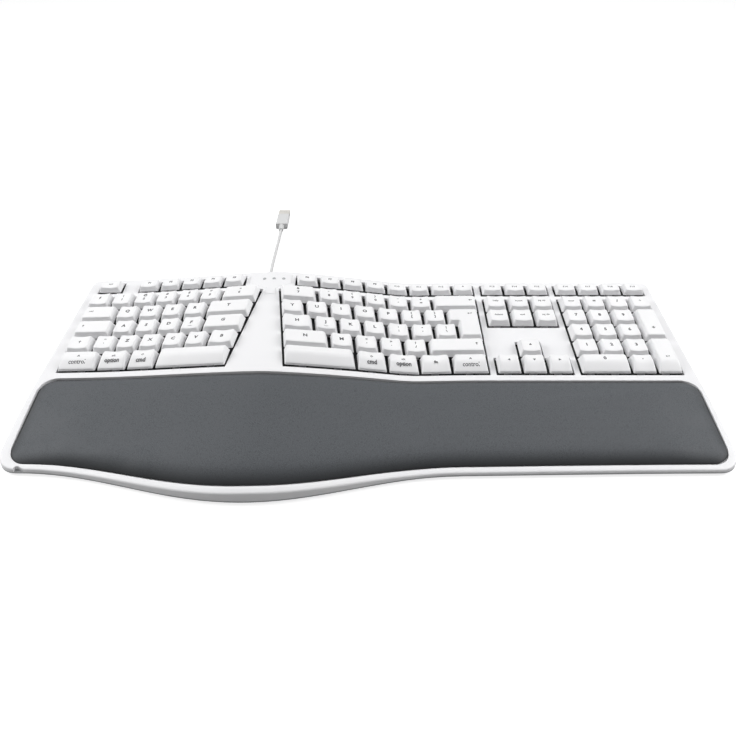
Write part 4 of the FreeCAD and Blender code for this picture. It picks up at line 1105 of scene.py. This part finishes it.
bmesh.ops.recalc_face_normals(pad, faces=pad.faces)

leather, tree, shader = new_material("palm_leatherette")
place = position(tree)
warp = add(tree, "ShaderNodeTexNoise", {"Vector": place, "Scale": 350.0}).outputs["Color"]
shift = add(tree, "ShaderNodeVectorMath", {0: warp, 1: (0.0007, 0.0007, 0.0007), 2: place},
            operation="MULTIPLY_ADD")
pebbles = add(tree, "ShaderNodeTexVoronoi", {"Vector": shift.outputs["Vector"], "Scale": 1100.0},
              feature="DISTANCE_TO_EDGE")
grain_height = ranged(tree, pebbles.outputs["Distance"], 0.0, 0.25, 0.0, 1.0)
soft = noise(tree, place, 60.0, 3.0)
hollow = bumped(tree, noise(tree, place, 9.0, 2.0), 0.0008, 0.6)
worn = mixed(tree, ranged(tree, soft, 0.35, 0.7, 0.0, 1.0), colour(0.077, 0.083, 0.091),
             colour(0.090, 0.097, 0.105))
hide = mixed(tree, ranged(tree, grain_height, 0.0, 0.6, 1.0, 0.0), worn, colour(0.051, 0.055, 0.061))
# Painted shade: the mask turns the seam, the front edge and the ends of the pad near black.
painted_shade_fac = add(tree, "ShaderNodeAttribute", {}, attribute_name="painted_shade").outputs["Fac"]
feed(tree, shader, {"Normal": bumped(tree, grain_height, 0.00003, 0.7, Normal=hollow),
                    "Base Color": mixed(tree, painted_shade_fac, hide, colour(0.009, 0.010, 0.011)),
                    "Roughness": ranged(tree, soft, 0.3, 0.7, 0.55, 0.72), "Specular IOR Level": 0.3})
held = pad.verts.layers.deform.verify()
for ring, grip in zip(pad_rings, [1.0] * 8 + [0.9, 0.7, 0.45, 0.2, 0.05, 0.0, 0.0, 0.0]):
    for vert in ring:
        if vert.is_valid:
            vert[held][0] = grip
cushion = piece_from(pad, "palm_pad", "chassis", [leather], 1.2)
cushion.vertex_groups.new(name="glued edge")
swell_most, swell_steps = 0.0009, 20
swell = cushion.modifiers.new("swell", "CLOTH")
for name, value in (("quality", 5), ("mass", 0.3), ("tension_stiffness", 15.0),
                    ("compression_stiffness", 15.0), ("bending_stiffness", 0.5), ("use_pressure", True),
                    ("uniform_pressure_force", 4.0), ("vertex_group_mass", "glued edge")):
    setattr(swell.settings, name, value)
swell.settings.effector_weights.gravity = 0.0
swell.point_cache.frame_start = 1
swell.point_cache.frame_end = swell_steps
for step in range(1, swell_steps + 1):
    bpy.context.scene.frame_set(step)
blown = cushion.evaluated_get(bpy.context.evaluated_depsgraph_get()).data
moves = [end.co - start.co for start, end in zip(cushion.data.vertices, blown.vertices)]
for vert, move in zip(cushion.data.vertices, moves):
    vert.co += move * (swell_most / (swell_most + move.length))
cushion.modifiers.remove(swell)
bpy.context.scene.frame_set(1)
finer = cushion.modifiers.new("finer", "SUBSURF")
finer.levels = 1
smooth_pad = final_mesh(cushion)
cushion.modifiers.remove(finer)
cushion.vertex_groups.clear()
cushion.data = smooth_pad
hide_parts("palm_cushion")


# Cord: a thin pale PVC cord with a tapered sleeve where it leaves the rear wall.
# Its spare length lies in a tied hank close behind the case, and it ends in its plug.
cord_radius = 1.6
exit_x, exit_z = -97.95, 4.6
exit_y = 118.0 - bow(exit_x - 3.4) + 0.1 + 12.0
hank_y, hank_height, hank_run, hank_waist = 141.0, 2.5, 62.0, 6.5
hank_step, hank_layer, hank_small, hank_turns, hank_climb = 4.05, 3.75, 8.9, 6, 2.75
hank_right = exit_x - hank_small - hank_step * hank_climb
hank_left = hank_right - hank_run
cord_route = [(exit_x, exit_y - 8.0, exit_z), (exit_x, exit_y + 4.1, exit_z),
              (exit_x, exit_y + 10.0, hank_height)]


def hank_radius(turns):
    return hank_small + hank_step * abs(turns - hank_climb)


def hank_level(turns):
    return hank_height + hank_layer * min(1.0, max(0.0, (turns - hank_climb + 0.125) / 0.25))


def hank_knot(turns, angle, end_x, spread=18.0):
    """Corner of the hank's line at an end of its loop, set out so that the line keeps its radius."""
    radius, a = hank_radius(turns) / math.cos(math.radians(spread)), math.radians(angle)
    return (end_x + radius * math.cos(a), hank_y + radius * math.sin(a), hank_level(turns))


def hank_side(turns, share, rear):
    """Point on a long side of the hank, drawn in towards the waist where the tie sits."""
    reach = hank_radius(turns) - hank_waist * {0.25: 0.42, 0.5: 1.08, 0.75: 0.42}[share]
    x = hank_right - hank_run * share if rear else hank_left + hank_run * share
    return (x, hank_y + (reach if rear else -reach), hank_level(turns))


for turn in range(hank_turns):
    if turn == 0:
        cord_route.append(hank_knot(0.06, 27.0, hank_right, 27.0))
    else:
        cord_route += [hank_knot(turn + angle / 720.0, angle, hank_right) for angle in (-72, -36, 0, 36)]
    cord_route.append(hank_knot(turn + 0.1, 72.0, hank_right))
    cord_route += [hank_side(turn + 0.125 + share / 4, share, True) for share in (0.25, 0.5, 0.75)]
    cord_route += [hank_knot(turn + 0.375 + (angle - 90) / 720.0, angle, hank_left)
                   for angle in (108, 144, 180, 216, 252)]
    cord_route += [hank_side(turn + 0.625 + share / 4, share, False) for share in (0.25, 0.5, 0.75)]
cord_route += [hank_knot(hank_turns - 0.1, -72.0, hank_right),
               hank_knot(hank_turns - 0.06, -27.0, hank_right, 27.0)]
cord_route += [(-95.93, 144.2, 6.25), (-95.93, 153.0, 6.25), (-96.2, 162.0, 4.1), (-96.4, 173.0, 1.62),
               (-96.9, 196.0, 1.6), (-96.4, 232.0, 1.6), (-96.0, 262.0, 1.6), (-96.0, 280.0, 1.9)]
cord_line = bpy.data.curves.new("cord", "CURVE")
cord_line.dimensions = "3D"
strand = cord_line.splines.new("NURBS")
strand.points.add(len(cord_route) - 1)
for point, (x, y, z) in zip(strand.points, cord_route):
    point.co = (x * MM, y * MM, z * MM, 1.0)
strand.order_u = 3
strand.use_endpoint_u = True
strand.resolution_u = 4
cord_line.bevel_depth = cord_radius * MM
cord_line.bevel_resolution = 3
cord_line.use_fill_caps = True
cord_pvc = moulded_plastic("cord_pale_pvc", colour(0.64, 0.643, 0.645), colour(0.60, 0.603, 0.605),
                           grains=1800.0, height=0.00001, cloud=90.0, smooth=0.32, rough=0.45)
cord_line.materials.append(cord_pvc)
cord = stand("cord", cord_line)
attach(cord, "chassis")
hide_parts("cord_lead", "cord_hank", "cord_run")
dress("strain_relief", cord_pvc)

# Tie: a woven hook-and-loop strap round the waist of the hank.
# Its pale yarns cross in a fine plain weave with a little fuzz.
strap, tree, shader = new_material("strap_weave")
yarns = add(tree, "ShaderNodeTexWave", {"Vector": position(tree), "Scale": 320.0, "Distortion": 0.6})
cross = add(tree, "ShaderNodeTexWave", {"Vector": position(tree), "Scale": 320.0}, bands_direction="Z")
weave = add(tree, "ShaderNodeMath", {0: yarns.outputs["Fac"], 1: cross.outputs["Fac"]},
            operation="MULTIPLY").outputs["Value"]
feed(tree, shader, {"Base Color": mixed(tree, weave, colour(0.34, 0.35, 0.35), colour(0.60, 0.61, 0.61)),
                    "Normal": bumped(tree, weave, 0.0001),
                    "Roughness": ranged(tree, weave, 0.0, 1.0, 0.95, 0.8)})
dress("hank_tie", strap)

# Plug: a moulded grip with a neck round the cord, and a folded nickel-plated shell.
# The grip has the cord's pale colour; the shell shows fine drawing marks.
grip_pale = moulded_plastic("plug_grip_plastic", colour(0.63, 0.633, 0.635), colour(0.585, 0.588, 0.59),
                            grains=1400.0, height=0.00003, smooth=0.4, rough=0.55)
dress("plug_body", grip_pale)
nickel = plated_metal("plug_nickel", colour(0.66, 0.64, 0.60), colour(0.55, 0.53, 0.50), 900.0,
                      (1.0, 0.08, 1.0))
dress("plug_shell", nickel)

# Floor and light: a plain pale table in a white studio, lit by three wide soft lamps.
# They hang behind and to both sides, so the fronts of the caps fall into light shade.
table = bmesh.new()
for x, y in ((-3.0, -3.0), (3.0, -3.0), (3.0, 5.0), (-3.0, 5.0)):
    table.verts.new((x, y, -0.0001))
table.faces.new(table.verts)
table_data = bpy.data.meshes.new("table")
table.to_mesh(table_data)
table.free()
table_top = stand("table", table_data)
table_white, tree, shader = new_material("table_white")
rays = tree.nodes.new("ShaderNodeLightPath").outputs
seen = add(tree, "ShaderNodeMath", {0: rays["Is Camera Ray"], 1: 0.78}, operation="MULTIPLY").outputs["Value"]
feed(tree, shader, {"Base Color": colour(0.50, 0.50, 0.50), "Roughness": 0.9,
                    "Emission Color": colour(1.0, 1.0, 1.0), "Emission Strength": seen})
table_data.materials.append(table_white)

world = bpy.data.worlds.new("studio")
bpy.context.scene.world = world
world.use_nodes = True
tree = world.node_tree
rays = tree.nodes.new("ShaderNodeLightPath").outputs
bright = add(tree, "ShaderNodeMath", {0: rays["Is Camera Ray"], 1: rays["Is Glossy Ray"]}, operation="MAXIMUM")
bright = add(tree, "ShaderNodeMath", {0: bright.outputs["Value"], 1: rays["Is Transmission Ray"]},
             operation="MAXIMUM").outputs["Value"]
feed(tree, tree.nodes["Background"], {"Strength": ranged(tree, bright, 0.0, 1.0, 0.16, 1.0),
                                      "Color": colour(1.0, 1.0, 1.0)})


def lamp(name, place, width, depth, power):
    """Soft rectangular lamp aimed at the origin."""
    light = bpy.data.lights.new(name, "AREA")
    light.shape = "RECTANGLE"
    light.size = width
    light.size_y = depth
    light.energy = power
    holder = stand(name, light)
    holder.location = place
    holder.rotation_euler = (-Vector(place)).to_track_quat("-Z", "Y").to_euler()


lamp("rear_lamp", (0.0, 0.42, 1.3), 2.0, 0.7, 7.9)
lamp("left_lamp", (-1.2, 0.12, 0.85), 0.8, 0.8, 13.5)
lamp("right_lamp", (1.2, 0.12, 0.85), 0.8, 0.8, 13.5)

camera = bpy.data.cameras.new("camera")
camera.lens = 35.0
camera.sensor_width = 36.0
camera.clip_start = 0.01
eye = stand("camera", camera)
eye.location = (-0.0025, -0.433, 0.3345)
eye.rotation_euler = (math.radians(90.0 - 36.0), 0.0, 0.0)
bpy.context.scene.camera = eye
bpy.context.scene.view_settings.view_transform = "Standard"
